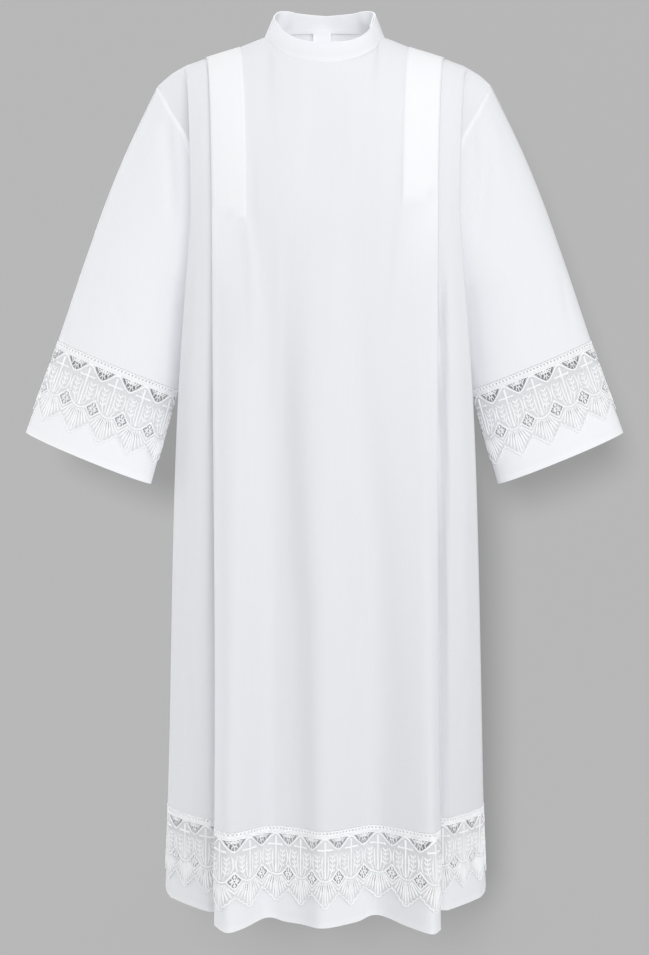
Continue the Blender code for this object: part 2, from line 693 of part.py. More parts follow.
def build_collar(cloth):
    """Stand collar: one strip round the neck whose ends overlap on the right."""
    ring = neck_ring()
    count = len(ring) + COLLAR_OVERLAP
    rows = [[] for _ in COLLAR_ROWS]
    for k in range(count + 1):
        base = ring[(k - 1) % len(ring)]
        top, inward = collar_column(base)
        left = count - k
        tuck = (COLLAR_WALL + LAYER) * min(1.0, max(0.0, (COLLAR_OVERLAP + 2 - left) / 2))
        lift = np.array((0, 0, COLLAR_SEAM))
        for row, share in zip(rows, COLLAR_ROWS):
            row.append(base * (1 - share) + top * share + inward * tuck + lift * (1 - share))
    points = [p for row in rows for p in row]
    look = ((0, -0.09, -0.03), (0, -1, 0))
    add_wall("collar", points, grid_faces(len(rows), count + 1), COLLAR_WALL, cloth, look)


def build_label(cloth):
    """Small bare label inside the back of the neck."""
    points = [np.array((x, LABEL_Y, z)) for z in LABEL_Z for x in LABEL_X]
    look = ((0, LABEL_Y, 0.01), (0, -1, 0))
    add_wall("neck_label", points, [(0, 1, 3, 2)], LABEL_WALL, cloth, look)


def main():
    """Clear the scene and build every piece."""
    for obj in list(bpy.data.objects):
        bpy.data.objects.remove(obj, do_unlink=True)
    cloth = material("plain_cloth", (0.86, 0.87, 0.90), 0.75)
    lace = material("corded_lace", (0.88, 0.89, 0.91), 0.80)
    build_panel("front", True, cloth)
    build_panel("back", False, cloth)
    gaps = build_hem(lace, cloth)
    for side in (-1, 1):
        gaps += build_sleeve(side, cloth, lace)
    build_collar(cloth)
    build_label(cloth)
    print("lace gaps cut through:", gaps)


main()
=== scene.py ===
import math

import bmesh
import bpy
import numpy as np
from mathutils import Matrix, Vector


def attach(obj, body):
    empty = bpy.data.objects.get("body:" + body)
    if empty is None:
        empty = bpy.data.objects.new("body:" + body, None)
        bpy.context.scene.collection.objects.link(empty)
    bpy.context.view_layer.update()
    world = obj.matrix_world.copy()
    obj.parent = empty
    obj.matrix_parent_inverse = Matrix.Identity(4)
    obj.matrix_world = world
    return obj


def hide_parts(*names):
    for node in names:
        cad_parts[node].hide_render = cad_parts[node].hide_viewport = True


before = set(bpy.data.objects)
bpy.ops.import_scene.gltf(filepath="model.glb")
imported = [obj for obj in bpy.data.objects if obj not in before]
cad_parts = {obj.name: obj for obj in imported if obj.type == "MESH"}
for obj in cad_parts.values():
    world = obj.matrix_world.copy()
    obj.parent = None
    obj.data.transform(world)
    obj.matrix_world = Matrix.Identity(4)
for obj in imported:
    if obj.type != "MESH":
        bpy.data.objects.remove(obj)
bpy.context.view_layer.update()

# %% [markdown]
# # A white alb with lace at hem and cuffs
#
# The alb is the long white garment under a priest's outer vestments. This one stands as if
# worn, but it is empty: a body of two panels with stitched tucks in front, wide sleeves, a low
# stand collar, and a band of corded lace set in above the plain edge of hem and cuffs.
#
# The frame just loaded holds each piece as a plain solid of the right size and place. Every
# piece is made again here as thin cloth with its creases, seams and lace, in the same metres.
# X runs to the viewer's right, the front looks along -Y, and the neck is at the origin.

MM = 0.001

# %% [markdown]
# ## The camera
#
# The garment is seen straight from the front, from a little above its middle and at about the
# distance of a person across a small room. A long lens keeps its upright lines upright. The
# lens is worked out from how large a metre should look, which is easier to check than a guess.

# %% Camera
PICTURE_HEIGHT = 955            # pixels
LENS_PIXELS = 1748.0            # distance of the lens from the picture, in its pixels
CAMERA_PLACE = (0.0, -2.8, -0.41)
CAMERA_TILT = 5.79              # degrees, downwards
SENSOR = 36.0

camera_data = bpy.data.cameras.new("camera")
camera_data.sensor_width = SENSOR
camera_data.lens = SENSOR * LENS_PIXELS / PICTURE_HEIGHT
camera = bpy.data.objects.new("camera", camera_data)
camera.location = CAMERA_PLACE
camera.rotation_euler = (math.radians(90 - CAMERA_TILT), 0, 0)
bpy.context.collection.objects.link(camera)
bpy.context.scene.camera = camera
print("lens:", round(camera_data.lens, 1), "mm")

# %% [markdown]
# ## Smooth curves through a few points
#
# A tailor draws a pattern through a few measured points with a flexible rule. The same is done
# here with Catmull-Rom curves: they pass through every given point, and nothing bulges far
# between two of them. Numpy works on whole rows of points at once, which keeps this quick.

# %% Curve helpers
FINE = 24                       # steps a span of curves that are only read from


def between(points, where):
    """A smooth curve through points[0], points[1], ... read at fractional numbers."""
    points = np.asarray(points, dtype=float)
    where = np.asarray(where, dtype=float)
    ends = np.concatenate((2 * points[:1] - points[1:2], points, 2 * points[-1:] - points[-2:-1]))
    k = np.clip(where.astype(int), 0, len(points) - 2)
    t = (where - k).reshape(-1, *[1] * (points.ndim - 1))
    a, b, c, d = ends[k], ends[k + 1], ends[k + 2], ends[k + 3]
    return 0.5 * (2 * b + (c - a) * t + (2 * a - 5 * b + 4 * c - d) * t ** 2
                  + (3 * b - a - 3 * c + d) * t ** 3)


def smooth_run(points, steps=FINE):
    """A smooth curve through the points, with `steps` points a span."""
    return between(points, np.arange((len(points) - 1) * steps + 1) / steps)


def read_curve(places, values, at):
    """Values of a smooth curve, given at falling heights, read at other heights."""
    path = smooth_run(np.column_stack((places, values)))
    at = -np.asarray(at, dtype=float)
    if np.ndim(values) == 1:
        return np.interp(at, -path[:, 0], path[:, 1])
    return np.column_stack([np.interp(at, -path[:, 0], path[:, 1 + k]) for k in range(np.shape(values)[1])])


def soft_step(x):
    """0 below 0, 1 above 1, and a soft rise between."""
    x = np.clip(x, 0.0, 1.0)
    return x * x * (3 - 2 * x)


def lengths_along(points):
    """Distance along rows of points, from the first to each."""
    steps = np.linalg.norm(np.diff(points, axis=0), axis=-1)
    return np.concatenate((np.zeros((1, *steps.shape[1:])), np.cumsum(steps, axis=0)))


# %% [markdown]
# ## The pattern: lines that run down the garment
#
# A dressmaker's pattern is a set of lines down the body: the edge of a tuck, the crest of a
# fold, the trough beside it. Each line here is known at the shoulder, chest, waist, knee and
# hem, in metres. Its neighbours and the heights between come from the smooth curves. One table
# then holds the whole form, and any fold can be moved by changing one row of numbers.

# %% Sizes
Z_CHEST, Z_WAIST, Z_KNEE, Z_HEM = -0.28, -0.60, -1.00, -1.38
STATIONS = (Z_CHEST, Z_WAIST, Z_KNEE, Z_HEM)
NECK_X = 0.003                  # the collar sits this far off the middle
NECK_HALF = 0.0935              # neck base: half width, front and back depth
NECK_FRONT, NECK_BACK = 0.090, 0.057
NECK_FRONT_DROP, NECK_FRONT_CURVE, NECK_BACK_RISE = 0.049, 1.3, 0.0155
NECK_FALL = 0.65                # share of a line's depth that follows its fall below the neck
SHOULDER_SLOPE = 0.305          # fall of the shoulder seam per metre outwards
SHOULDER_ROUND_X, SHOULDER_ROUND = 0.200, 4.8
SHOULDER_DIP, SHOULDER_DIP_SLOPE = 0.0036, 0.15
SIDE_SCALE = {-1: 0.993, 1: 1.008}
SEAM = 0.0005                   # space left between two sewn pieces
CLOTH_WALL = 0.0008

LACE_TO_EDGE = 0.1525           # braid to the edge of the plain band below
Z_LACE = Z_HEM + LACE_TO_EDGE
LACE_PITCH = 0.048              # one medallion to the next
FAN_TOP = 0.097                 # below the braid: the notches between the points

# Lines of the front, left edge of the tuck to its right edge.
# x at shoulder, lift at shoulder, then x and y at chest, waist, knee, hem
FRONT_LINES = {
    "edge_left": (-0.186, 0.0008, -0.171, -0.108, -0.1705, -0.120, -0.169, -0.137, -0.1735, -0.158),
    "crest_left": (-0.160, 0.0008, -0.148, -0.1145, -0.147, -0.130, -0.148, -0.158, -0.1515, -0.188),
    "stitch_left": (-0.1345, 0.0008, -0.119, -0.1195, -0.119, -0.131, -0.121, -0.149, -0.121, -0.168),
    "trough_left": (-0.0935, 0.0, -0.088, -0.1230, -0.088, -0.128, -0.089, -0.132, -0.0895, -0.140),
    "neck_left": (-0.080, 0.0, -0.067, -0.1250, -0.067, -0.131, -0.069, -0.138, -0.0700, -0.148),
    "slope_left": (-0.046, 0.0, -0.040, -0.1264, -0.041, -0.137, -0.043, -0.149, -0.0440, -0.163),
    "crest_mid": (0.0, 0.0, -0.004, -0.1270, -0.006, -0.142, -0.008, -0.160, -0.0087, -0.179),
    "slope_right": (0.046, 0.0, 0.038, -0.1264, 0.035, -0.136, 0.034, -0.146, 0.034, -0.156),
    "neck_right": (0.080, 0.0, 0.064, -0.1250, 0.061, -0.131, 0.060, -0.135, 0.060, -0.138),
    "trough_right": (0.0935, 0.0, 0.085, -0.1230, 0.082, -0.128, 0.081, -0.130, 0.0815, -0.134),
    "stitch_right": (0.1345, 0.0008, 0.119, -0.1195, 0.121, -0.130, 0.124, -0.146, 0.126, -0.162),
    "crest_right": (0.160, 0.0008, 0.149, -0.1145, 0.154, -0.131, 0.160, -0.160, 0.1665, -0.192),
    "edge_right": (0.188, 0.0008, 0.1725, -0.108, 0.174, -0.121, 0.1775, -0.140, 0.1825, -0.166),
}

# Lines of one side, from under the tuck out to the side seam, x outwards.
SIDE_LINES = {
    "tuck_under_edge": (0.1858, -0.0006, 0.1708, -0.1041, 0.1695, -0.1130, 0.168, -0.124, 0.168, -0.140),
    "tuck_under_fold": (0.1345, -0.0006, 0.1195, -0.1156, 0.122, -0.1190, 0.135, -0.121, 0.153, -0.125),
    "tuck_side_fold": (0.1343, -0.0017, 0.1193, -0.1141, 0.123, -0.1130, 0.138, -0.110, 0.156, -0.110),
    "side_front": (0.175, -0.0017, 0.160, -0.1055, 0.175, -0.1030, 0.185, -0.099, 0.190, -0.096),
    "side_middle": (0.200, -0.0010, 0.186, -0.0960, 0.208, -0.0900, 0.219, -0.078, 0.2265, -0.062),
    "pleat_edge": (0.217, 0.0, 0.2055, -0.0860, 0.2315, -0.0660, 0.2475, -0.045, 0.2535, -0.031),
    "pleat_under": (0.223, 0.0, 0.2052, -0.0810, 0.2318, -0.0570, 0.2485, -0.030, 0.2640, 0.000),
    "pleat_fold": (0.230, 0.0, 0.1880, -0.0770, 0.2180, -0.0430, 0.2440, -0.012, 0.2680, 0.028),
    "side_wall": (0.240, 0.0, 0.1860, -0.0700, 0.2140, -0.0320, 0.2410, 0.002, 0.2670, 0.047),
}
SIDE_SEAM = (0.2140, 0.0050, 0.2420, 0.030, 0.2620, 0.070)      # x and y at waist, knee, hem

# Lines of the back, x outwards, from the side to the middle.
BACK_LINES = {
    "back_side": (0.236, 0.0, 0.188, 0.088, 0.2160, 0.062, 0.2440, 0.080, 0.2555, 0.106),
    "back_outer": (0.190, 0.0, 0.150, 0.112, 0.1700, 0.104, 0.1900, 0.128, 0.2050, 0.158),
    "back_valley": (0.130, 0.0, 0.100, 0.120, 0.1100, 0.116, 0.1220, 0.130, 0.1350, 0.142),
    "back_neck": (0.0935, 0.0, 0.075, 0.122, 0.0800, 0.119, 0.0900, 0.138, 0.1000, 0.160),
    "back_inner": (0.075, 0.0, 0.050, 0.124, 0.0550, 0.122, 0.0620, 0.147, 0.0700, 0.176),
    "back_slope": (0.040, 0.0, 0.025, 0.1255, 0.0280, 0.123, 0.0310, 0.142, 0.0350, 0.165),
}
BACK_MIDDLE = (0.0, 0.0, 0.0, 0.126, 0.0, 0.124, 0.0, 0.136, 0.0, 0.150)

# Armhole, from the shoulder tip down to the underarm: z, x outwards, y front, y back
ARMHOLE = (
    (-0.0740, 0.2620, 0.000, 0.000),
    (-0.0885, 0.2530, -0.017, 0.017),
    (-0.1180, 0.2370, -0.033, 0.034),
    (-0.1630, 0.2115, -0.047, 0.051),
    (-0.2200, 0.1960, -0.055, 0.063),
    (-0.2800, 0.1900, -0.056, 0.068),
    (-0.3400, 0.1895, -0.046, 0.060),
    (-0.3850, 0.1920, -0.024, 0.036),
    (-0.4020, 0.1935, 0.005, 0.005),
)

# The hem edge hangs a little low on the crests and high in the troughs.
HEM_LIFT = {"crest_left": -0.003, "trough_left": 0.006, "trough_right": 0.0075,
            "crest_right": -0.0035, "edge_right": -0.004}
print("lines in the pattern:", len(FRONT_LINES) + 2 * len(SIDE_LINES) + 2 * len(BACK_LINES) + 3)

# %% [markdown]
# ## From lines to rows of points
#
# Above the chest the cloth turns over the shoulder, so its rows are steps of an angle. Below
# the chest they are steps of height. The rows go on past the lace to the edge of the hem, which
# lets skirt, lace and band share one form and meet without a step.

# %% Rows of the body
UPPER_ANGLES = np.linspace(0.0, 90.0, 27)
ROW_STEP = 0.008
LACE_ROWS = 19
LEVELS = np.concatenate((np.arange(Z_CHEST - ROW_STEP, Z_LACE + ROW_STEP / 2, -ROW_STEP),
                         np.linspace(Z_LACE, Z_HEM, LACE_ROWS)))
LACE_ROW = len(UPPER_ANGLES) + len(LEVELS) - LACE_ROWS      # the row along the braid's top


def top_point(x, lift, front):
    """Where a line starts: on the neck edge or on the shoulder seam."""
    out = abs(x)
    if out >= NECK_HALF:
        dip = min(SHOULDER_DIP, SHOULDER_DIP_SLOPE * (out - NECK_HALF))
        rounded = SHOULDER_ROUND * max(0.0, out - SHOULDER_ROUND_X) ** 2
        return np.array((x, 0.0, lift - dip - SHOULDER_SLOPE * (out - NECK_HALF) - rounded))
    share = math.sqrt(1 - (out / NECK_HALF) ** 2)
    if front:
        drop = NECK_FRONT_DROP * share ** NECK_FRONT_CURVE
        return np.array((x + NECK_X * share, -NECK_FRONT * share, -drop))
    return np.array((x + NECK_X * share, NECK_BACK * share, NECK_BACK_RISE * share))


def line_track(line, side=1, front=True, hem_lift=0.0):
    """One line of the pattern as points, from the neck or shoulder to the hem."""
    xs, ys = side * np.array(line[2::2]), np.array(line[3::2])
    start = top_point(side * line[0], line[1], front)
    turn = np.radians(UPPER_ANGLES)
    across, down = np.sin(turn), 1 - np.cos(turn)
    fall = NECK_FALL * max(0.0, 1 - abs(start[0]) / NECK_HALF)
    upper = np.column_stack((start[0] + (xs[0] - start[0]) * across,
                             start[1] + (ys[0] - start[1]) * (across * (1 - fall) + down * fall),
                             start[2] + (Z_CHEST - start[2]) * down))
    lower = np.column_stack((read_curve(STATIONS, xs, LEVELS), read_curve(STATIONS, ys, LEVELS), LEVELS))
    lower[:, 2] += hem_lift * np.clip((Z_LACE - LEVELS) / LACE_TO_EDGE, 0, 1)
    return np.concatenate((upper, lower))


def armhole_at(side, front, z):
    """Points of the armhole at given heights."""
    table = np.array(ARMHOLE)
    path = smooth_run(np.column_stack((table[:, 0], table[:, 1], table[:, 2 if front else 3])))
    x, y = (np.interp(-z, -path[:, 0], path[:, k]) for k in (1, 2))
    return np.column_stack((side * x, y, z))


def seam_track(side, front):
    """The outer edge of front and back: the armhole first, the side seam below it."""
    tip, under = ARMHOLE[0][0], ARMHOLE[-1][0]
    z = np.concatenate((tip + (Z_CHEST - tip) * (1 - np.cos(np.radians(UPPER_ANGLES))), LEVELS))
    knots = [(under, ARMHOLE[-1][1], ARMHOLE[-1][2])]
    knots += [(level, *SIDE_SEAM[2 * k:2 * k + 2]) for k, level in enumerate(STATIONS[1:])]
    knots = np.array(knots)
    below = read_curve(knots[:, 0], knots[:, 1:], z)
    below = np.column_stack((side * below[:, 0], below[:, 1], z))
    return np.where((z > under)[:, None], armhole_at(side, front, z), below)


def side_tracks(lines, side, front):
    """Tracks of one side, from its seam inwards."""
    return [seam_track(side, front)] + [line_track(line, side * SIDE_SCALE[side], front)
                                        for line in lines.values()]


front_sides = {side: [seam_track(side, True)] + side_tracks(SIDE_LINES, side, True)[:0:-1]
               for side in (-1, 1)}
front_middle = [line_track(line, 1, True, HEM_LIFT.get(name, 0.0)) for name, line in FRONT_LINES.items()]
back_half = {side: side_tracks(BACK_LINES, side, False) for side in (-1, 1)}
back_tracks = back_half[1] + [line_track(BACK_MIDDLE, 1, False)] + back_half[-1][::-1]
print("rows:", len(UPPER_ANGLES) + len(LEVELS), "row along the lace:", LACE_ROW)

# %% [markdown]
# ## Columns: where the cloth runs smooth and where it turns
#
# A pleat or tuck is one cloth that goes in, turns, and comes back. Between two turns the rows
# are drawn smooth. At a turn the cloth bulges a few millimetres past the last line, as thick
# cloth does when it is only pressed, not cut. Every panel so becomes one unbroken grid, which
# is how the real panel is cut: one piece of cloth from neck to lace.

# %% Columns of front and back
SPAN_STEPS = 6
TURN_SHARES = (0.18, 0.39, 0.61, 0.82)
TURN_BULGE = 0.0022
NECK_SHARP_ROWS = 12.0          # degrees over which the corner at the shoulder's neck softens
STITCH_STEP = 0.035             # the tuck's stitched edge is this much of a span wide
PLEAT_OPENS = (20.0, 30.0)      # the side pleat opens between these angles over the shoulder


def spaced(start, stop, extra=()):
    """Column numbers from start to stop, with extra ones for crisp edges."""
    return np.unique(np.concatenate((np.linspace(start, stop, (stop - start) * SPAN_STEPS + 1), extra)))


def turn_between(run, after, opens=None):
    """Points of the rounded turn from one run to the next, which may open below the shoulder."""
    a, b = run[-1], after[0]
    heading = run[-1] - run[-2]
    heading /= np.linalg.norm(heading, axis=-1, keepdims=True)
    gap = np.linalg.norm(b - a, axis=-1, keepdims=True)
    bulge = np.minimum(gap / 2, TURN_BULGE)
    if opens:
        angles = np.concatenate((UPPER_ANGLES, np.full(len(LEVELS), 90.0)))
        bulge *= soft_step((angles - opens[0]) / (opens[1] - opens[0]))[:, None]
    return np.array([a + (b - a) * t + heading * bulge * math.sin(math.pi * t) for t in TURN_SHARES])


def cornered(tracks, corners, where):
    """Columns that turn sharply at the corners in the first rows and run smooth below."""
    smooth = between(tracks, where)
    stops = [0] + corners + [len(tracks) - 1]
    sharp = smooth.copy()
    for start, stop in zip(stops, stops[1:]):
        here = (where >= start) & (where <= stop)
        sharp[here] = between(tracks[start:stop + 1], where[here] - start)
    rows = smooth.shape[1]
    angles = np.full(rows, 90.0)
    angles[:len(UPPER_ANGLES)] = UPPER_ANGLES
    weight = (1 - soft_step(angles / NECK_SHARP_ROWS))[None, :, None]
    return sharp * weight + smooth * (1 - weight)


def front_columns():
    """All columns of the front, with the name of the run and the place in it."""
    left, right = (np.array(front_sides[side]) for side in (-1, 1))
    cuts = ((0, 2), (2, 4), (4, 8), (8, 10))         # runs of a side: seam, hidden, shown, hidden
    names = list(FRONT_LINES)
    middle = np.array(front_middle)
    stitches = [names.index("stitch_left") + STITCH_STEP, names.index("stitch_right") - STITCH_STEP]
    where = spaced(0, len(names) - 1, stitches)
    necks = [names.index("trough_left"), names.index("trough_right")]
    runs = []
    for start, stop in cuts:
        runs.append(("side_%d" % start, spaced(0, stop - start - 1), left[start:stop]))
    runs.append(("middle", where, middle))
    for start, stop in cuts[::-1]:
        runs.append(("side_%d" % start, spaced(0, stop - start - 1), right[start:stop][::-1]))
    drawn = []
    for name, place, tracks in runs:
        drawn.append(cornered(tracks, necks, place) if name == "middle" else between(tracks, place))
    columns, run_of, place_of = [], [], []
    for k, (name, place, _) in enumerate(runs):
        columns.append(drawn[k])
        run_of += [name] * len(place)
        place_of += list(place)
        if k + 1 < len(runs):
            pleated = "side_2" in (name, runs[k + 1][0])
            columns.append(turn_between(drawn[k], drawn[k + 1], PLEAT_OPENS if pleated else None))
            run_of += ["turn"] * len(TURN_SHARES)
            place_of += [0.0] * len(TURN_SHARES)
    return np.concatenate(columns), np.array(run_of), np.array(place_of)


front_points, front_run, front_place = front_columns()
back_where = spaced(0, len(back_tracks) - 1)
neck_line = 1 + list(BACK_LINES).index("back_neck")
back_necks = [neck_line, len(back_tracks) - 1 - neck_line]
back_points = cornered(np.array(back_tracks), back_necks, back_where)
print("front grid:", front_points.shape[:2], "back grid:", back_points.shape[:2])

# %% [markdown]
# ## Creases, pressed into the form
#
# Cloth that hangs from the shoulders falls in long soft flutes, and between them run shallower
# creases that come and go. Each crease below has a path, a depth, a width on either side, and
# the heights where it fades in and out. No two are alike, because even spacing is what makes
# cloth look turned on a lathe. The points move along the normal of the cloth.

# %% Normals and creases
def grid_normals(points):
    """Unit normals of a grid of points, from its own two directions."""
    across = np.gradient(points, axis=0)
    down = np.gradient(points, axis=1)
    normals = np.cross(across, down)
    size = np.linalg.norm(normals, axis=-1, keepdims=True)
    return normals / np.maximum(size, 1e-12)


def press(points, out, creases, active):
    """Move the active columns of a grid along `out` by every crease of a table."""
    moved = np.zeros(points.shape[:2])
    z, x = points[..., 2], points[..., 0]
    for path, depth, left, right, fade_in, fade_out in creases:
        path = np.array(path)
        middle = read_curve(path[:, 0], path[:, 1], z.ravel()).reshape(z.shape)
        offset = x - middle
        width = np.where(offset < 0, left, right) * MM
        bump = 0.5 + 0.5 * np.cos(np.pi * np.clip(offset / width, -1, 1))
        fade = soft_step((path[0, 0] - z) / fade_in) * soft_step((z - path[-1, 0]) / fade_out)
        moved += depth * MM * bump * fade
    return points + out * (moved * active[:, None])[..., None]


def evened(points, columns, amount, passes=5):
    """Round the marked columns off: each point moves towards the middle of its neighbours."""
    points = points.copy()
    inner = np.flatnonzero(columns)[1:-1]
    for _ in range(passes):
        middle = (points[inner - 1] + points[inner + 1]) / 2
        points[inner] += 0.5 * amount[inner, :, None] * (middle - points[inner])
    return points


# Path as (z, x), depth in mm (below 0 is a trough), half widths in mm left and right,
# then the lengths over which it fades in and out.
FRONT_CREASES = (
    (((-0.260, -0.055), (-0.45, -0.0670), (-0.60, -0.0700), (-0.80, -0.0620), (-0.90, -0.0530),
      (-1.077, -0.0480), (-1.23, -0.0430), (-1.42, -0.0400)), -12.5, 72, 50, 0.36, 0.03),
    (((-0.260, 0.0460), (-0.45, 0.0520), (-0.58, 0.0570), (-0.75, 0.0760), (-0.876, 0.0850),
      (-0.976, 0.0895), (-1.077, 0.0930), (-1.18, 0.0870), (-1.42, 0.0840)), -5.0, 34, 34, 0.36, 0.03),
    (((-0.150, -0.1120), (-0.20, -0.1105), (-0.293, -0.1080), (-0.36, -0.1020), (-0.44, -0.0980)),
     -1.6, 7, 12, 0.08, 0.10),
    (((-0.130, 0.1150), (-0.20, 0.1105), (-0.270, 0.1075), (-0.34, 0.1020), (-0.42, 0.0980)),
     -1.5, 12, 7, 0.08, 0.10),
    (((-0.286, -0.1185), (-0.33, -0.1130), (-0.40, -0.1080), (-0.52, -0.1040)), 2.0, 16, 13, 0.02, 0.14),
    (((-0.264, 0.1185), (-0.31, 0.1120), (-0.38, 0.1060), (-0.50, 0.1010)), 1.9, 13, 16, 0.02, 0.14),
    (((-0.230, -0.0640), (-0.34, -0.0700), (-0.50, -0.0740), (-0.66, -0.0760)), 0.9, 16, 14, 0.12, 0.16),
    (((-0.150, 0.0180), (-0.26, 0.0160), (-0.40, 0.0120), (-0.60, 0.0100)), 0.8, 20, 18, 0.12, 0.20),
    (((-0.060, -0.0100), (-0.12, -0.0170), (-0.19, -0.0250), (-0.26, -0.0300)), -0.8, 15, 12, 0.05, 0.08),
    (((-0.060, 0.0420), (-0.13, 0.0390), (-0.20, 0.0330), (-0.28, 0.0310)), 0.7, 14, 16, 0.05, 0.08),
    (((-0.520, -0.1290), (-0.70, -0.1275), (-0.90, -0.1290), (-1.12, -0.1320)), -1.0, 9, 13, 0.16, 0.22),
    (((-0.640, 0.0300), (-0.80, 0.0330), (-0.98, 0.0340), (-1.16, 0.0330)), -1.1, 16, 13, 0.20, 0.20),
    (((-0.560, 0.1340), (-0.78, 0.1420), (-0.98, 0.1460), (-1.20, 0.1480)), -0.9, 12, 10, 0.18, 0.20),
    (((-0.700, -0.0880), (-0.90, -0.0850), (-1.08, -0.0800), (-1.26, -0.0780)), -0.4, 16, 14, 0.20, 0.14),
)
SIDE_CREASES = (
    (((-0.330, 0.1800), (-0.60, 0.1810), (-1.00, 0.1820), (-1.42, 0.1860)), -16.0, 10, 10, 0.12, 0.02),
    (((-0.420, -0.1740), (-0.70, -0.1720), (-1.00, -0.1730), (-1.42, -0.1780)), -5.0, 6, 7, 0.16, 0.02),
    (((-0.930, -0.2330), (-1.00, -0.2230), (-1.08, -0.2100), (-1.15, -0.1960)), -1.7, 9, 12, 0.05, 0.05),
    (((-0.640, -0.2040), (-0.76, -0.2080), (-0.90, -0.2140)), -1.3, 9, 8, 0.10, 0.12),
    (((-1.160, -0.2080), (-1.24, -0.2110), (-1.33, -0.2150)), 1.2, 11, 9, 0.06, 0.06),
    (((-0.700, 0.2030), (-0.84, 0.2100), (-0.98, 0.2190)), -1.4, 9, 8, 0.12, 0.12),
    (((-0.960, 0.2300), (-1.06, 0.2190), (-1.15, 0.2060)), -1.2, 11, 9, 0.06, 0.06),
    (((-0.300, -0.1880), (-0.38, -0.1900), (-0.50, -0.1960)), -0.9, 7, 6, 0.08, 0.10),
    (((-0.320, 0.1900), (-0.40, 0.1930), (-0.52, 0.2000)), -0.8, 7, 6, 0.08, 0.10),
)
BACK_CREASES = (
    (((-0.070, -0.0400), (-0.20, -0.0350), (-0.36, -0.0420), (-0.55, -0.0460)), -1.2, 16, 14, 0.10, 0.16),
    (((-0.060, 0.0460), (-0.17, 0.0420), (-0.30, 0.0500), (-0.48, 0.0560)), -1.0, 14, 18, 0.09, 0.14),
    (((-0.110, 0.1380), (-0.20, 0.1300), (-0.32, 0.1200), (-0.50, 0.1140)), -1.5, 12, 15, 0.07, 0.16),
    (((-0.130, -0.1400), (-0.22, -0.1290), (-0.34, -0.1180), (-0.52, -0.1120)), -1.6, 15, 12, 0.07, 0.18),
    (((-0.380, 0.0100), (-0.60, 0.0060), (-0.85, 0.0020), (-1.10, -0.0040), (-1.42, -0.0060)),
     -1.8, 19, 24, 0.20, 0.03),
    (((-0.440, -0.1560), (-0.66, -0.1680), (-0.90, -0.1800), (-1.20, -0.1880)), 1.4, 14, 17, 0.16, 0.16),
    (((-0.420, 0.1600), (-0.70, 0.1740), (-0.96, 0.1830), (-1.24, 0.1900)), -1.6, 16, 12, 0.16, 0.14),
    (((-0.560, 0.0850), (-0.78, 0.0800), (-1.00, 0.0860), (-1.26, 0.0920)), 1.3, 15, 13, 0.20, 0.12),
    (((-0.620, -0.0760), (-0.84, -0.0820), (-1.06, -0.0800), (-1.30, -0.0840)), -1.5, 13, 17, 0.20, 0.10),
    (((-0.420, -0.2050), (-0.56, -0.2110), (-0.72, -0.2230)), -1.3, 8, 9, 0.08, 0.12),
    (((-0.440, 0.2060), (-0.58, 0.2130), (-0.76, 0.2260)), -1.2, 9, 8, 0.08, 0.12),
)

EVEN_FROM, EVEN_OVER = -0.45, 0.50        # the skirt is rounded below here, fully this much lower
front_out = grid_normals(front_points)
middle_columns = front_run == "middle"
if front_out[middle_columns][:, 40, 1].mean() > 0:
    front_out = -front_out
shown_side = front_run == "side_4"
front_points = press(front_points, front_out, FRONT_CREASES, middle_columns.astype(float))
rounding = soft_step((EVEN_FROM - front_points[..., 2]) / EVEN_OVER)
front_points = evened(front_points, middle_columns, rounding)
ends = np.where(shown_side, np.sin(np.pi * np.clip(front_place / 3.0, 0, 1)) ** 0.5, 0.0)
front_points = press(front_points, front_out, SIDE_CREASES, ends)
back_out = grid_normals(back_points)
if back_out[:, 40, 1].mean() < 0:
    back_out = -back_out
back_ends = soft_step(np.minimum(back_where, back_where[-1] - back_where) / 0.7)
back_points = press(back_points, back_out, BACK_CREASES, back_ends)
print("creases:", len(FRONT_CREASES), len(SIDE_CREASES), len(BACK_CREASES))

# %% [markdown]
# ## The two front tucks
#
# On each side of the chest a deep tuck is folded flat and stitched down from the shoulder for
# about a hand and a half. Its strip lies on the chest as a second layer, so it stands a little
# proud and looks whiter. Below the last stitch the fold is free and opens into the skirt. The
# strip is lifted on the grid itself, with one narrow step along the stitching, and a mask on
# the points remembers where the cloth is double.

# %% Tuck strips
TUCK_LIFT = 0.0010
TUCK_END = {-1: -0.2930, 1: -0.2700}      # height of the last stitch, on either side
TUCK_END_SLANT = 0.020                    # it slants: higher by this much at the fold edge
FREE_FADE = 0.17                          # below it the doubled look fades over this length


def tuck_masks(place, z):
    """How much each point is lifted, and how much of a second layer lies on it, left and right tuck
    together.
    """
    last = len(FRONT_LINES) - 1
    lifted, doubled_and_painted_light = np.zeros(z.shape), np.zeros(z.shape)
    for side in (-1, 1):
        out = place if side < 0 else last - place
        out = np.broadcast_to(out[:, None], z.shape)
        end = TUCK_END[side] + TUCK_END_SLANT * np.clip(1 - out / 2, 0, 1)
        on_strip = np.where(out <= 2.0001, 1.0, 0.0)
        above = soft_step((z - end) / 0.012)
        lifted = np.maximum(lifted, on_strip * above)
        below = soft_step((z - end + FREE_FADE) / FREE_FADE) * (1 - above)
        edge = np.clip(1 - out / 2.4, 0, 1)
        kept = 0.35 * soft_step(1 - out / 0.9) * (z < end)
        doubled_and_painted_light = np.maximum(doubled_and_painted_light, np.maximum(on_strip * above, np.maximum(below * edge, kept)))
    return lifted, doubled_and_painted_light


front_z = front_points[..., 2]
# the tucks give the whitening mask a second layer only; the painted light in the same mask is on the
# sleeves, hem band and cuff bands
lifted, doubled_and_painted_light = tuck_masks(np.where(middle_columns, front_place, 6.0), front_z)
lifted *= middle_columns[:, None]
doubled_and_painted_light *= middle_columns[:, None]
front_points = front_points + front_out * (lifted * TUCK_LIFT)[..., None]
print("points on the tucks:", int((doubled_and_painted_light > 0.9).sum()))

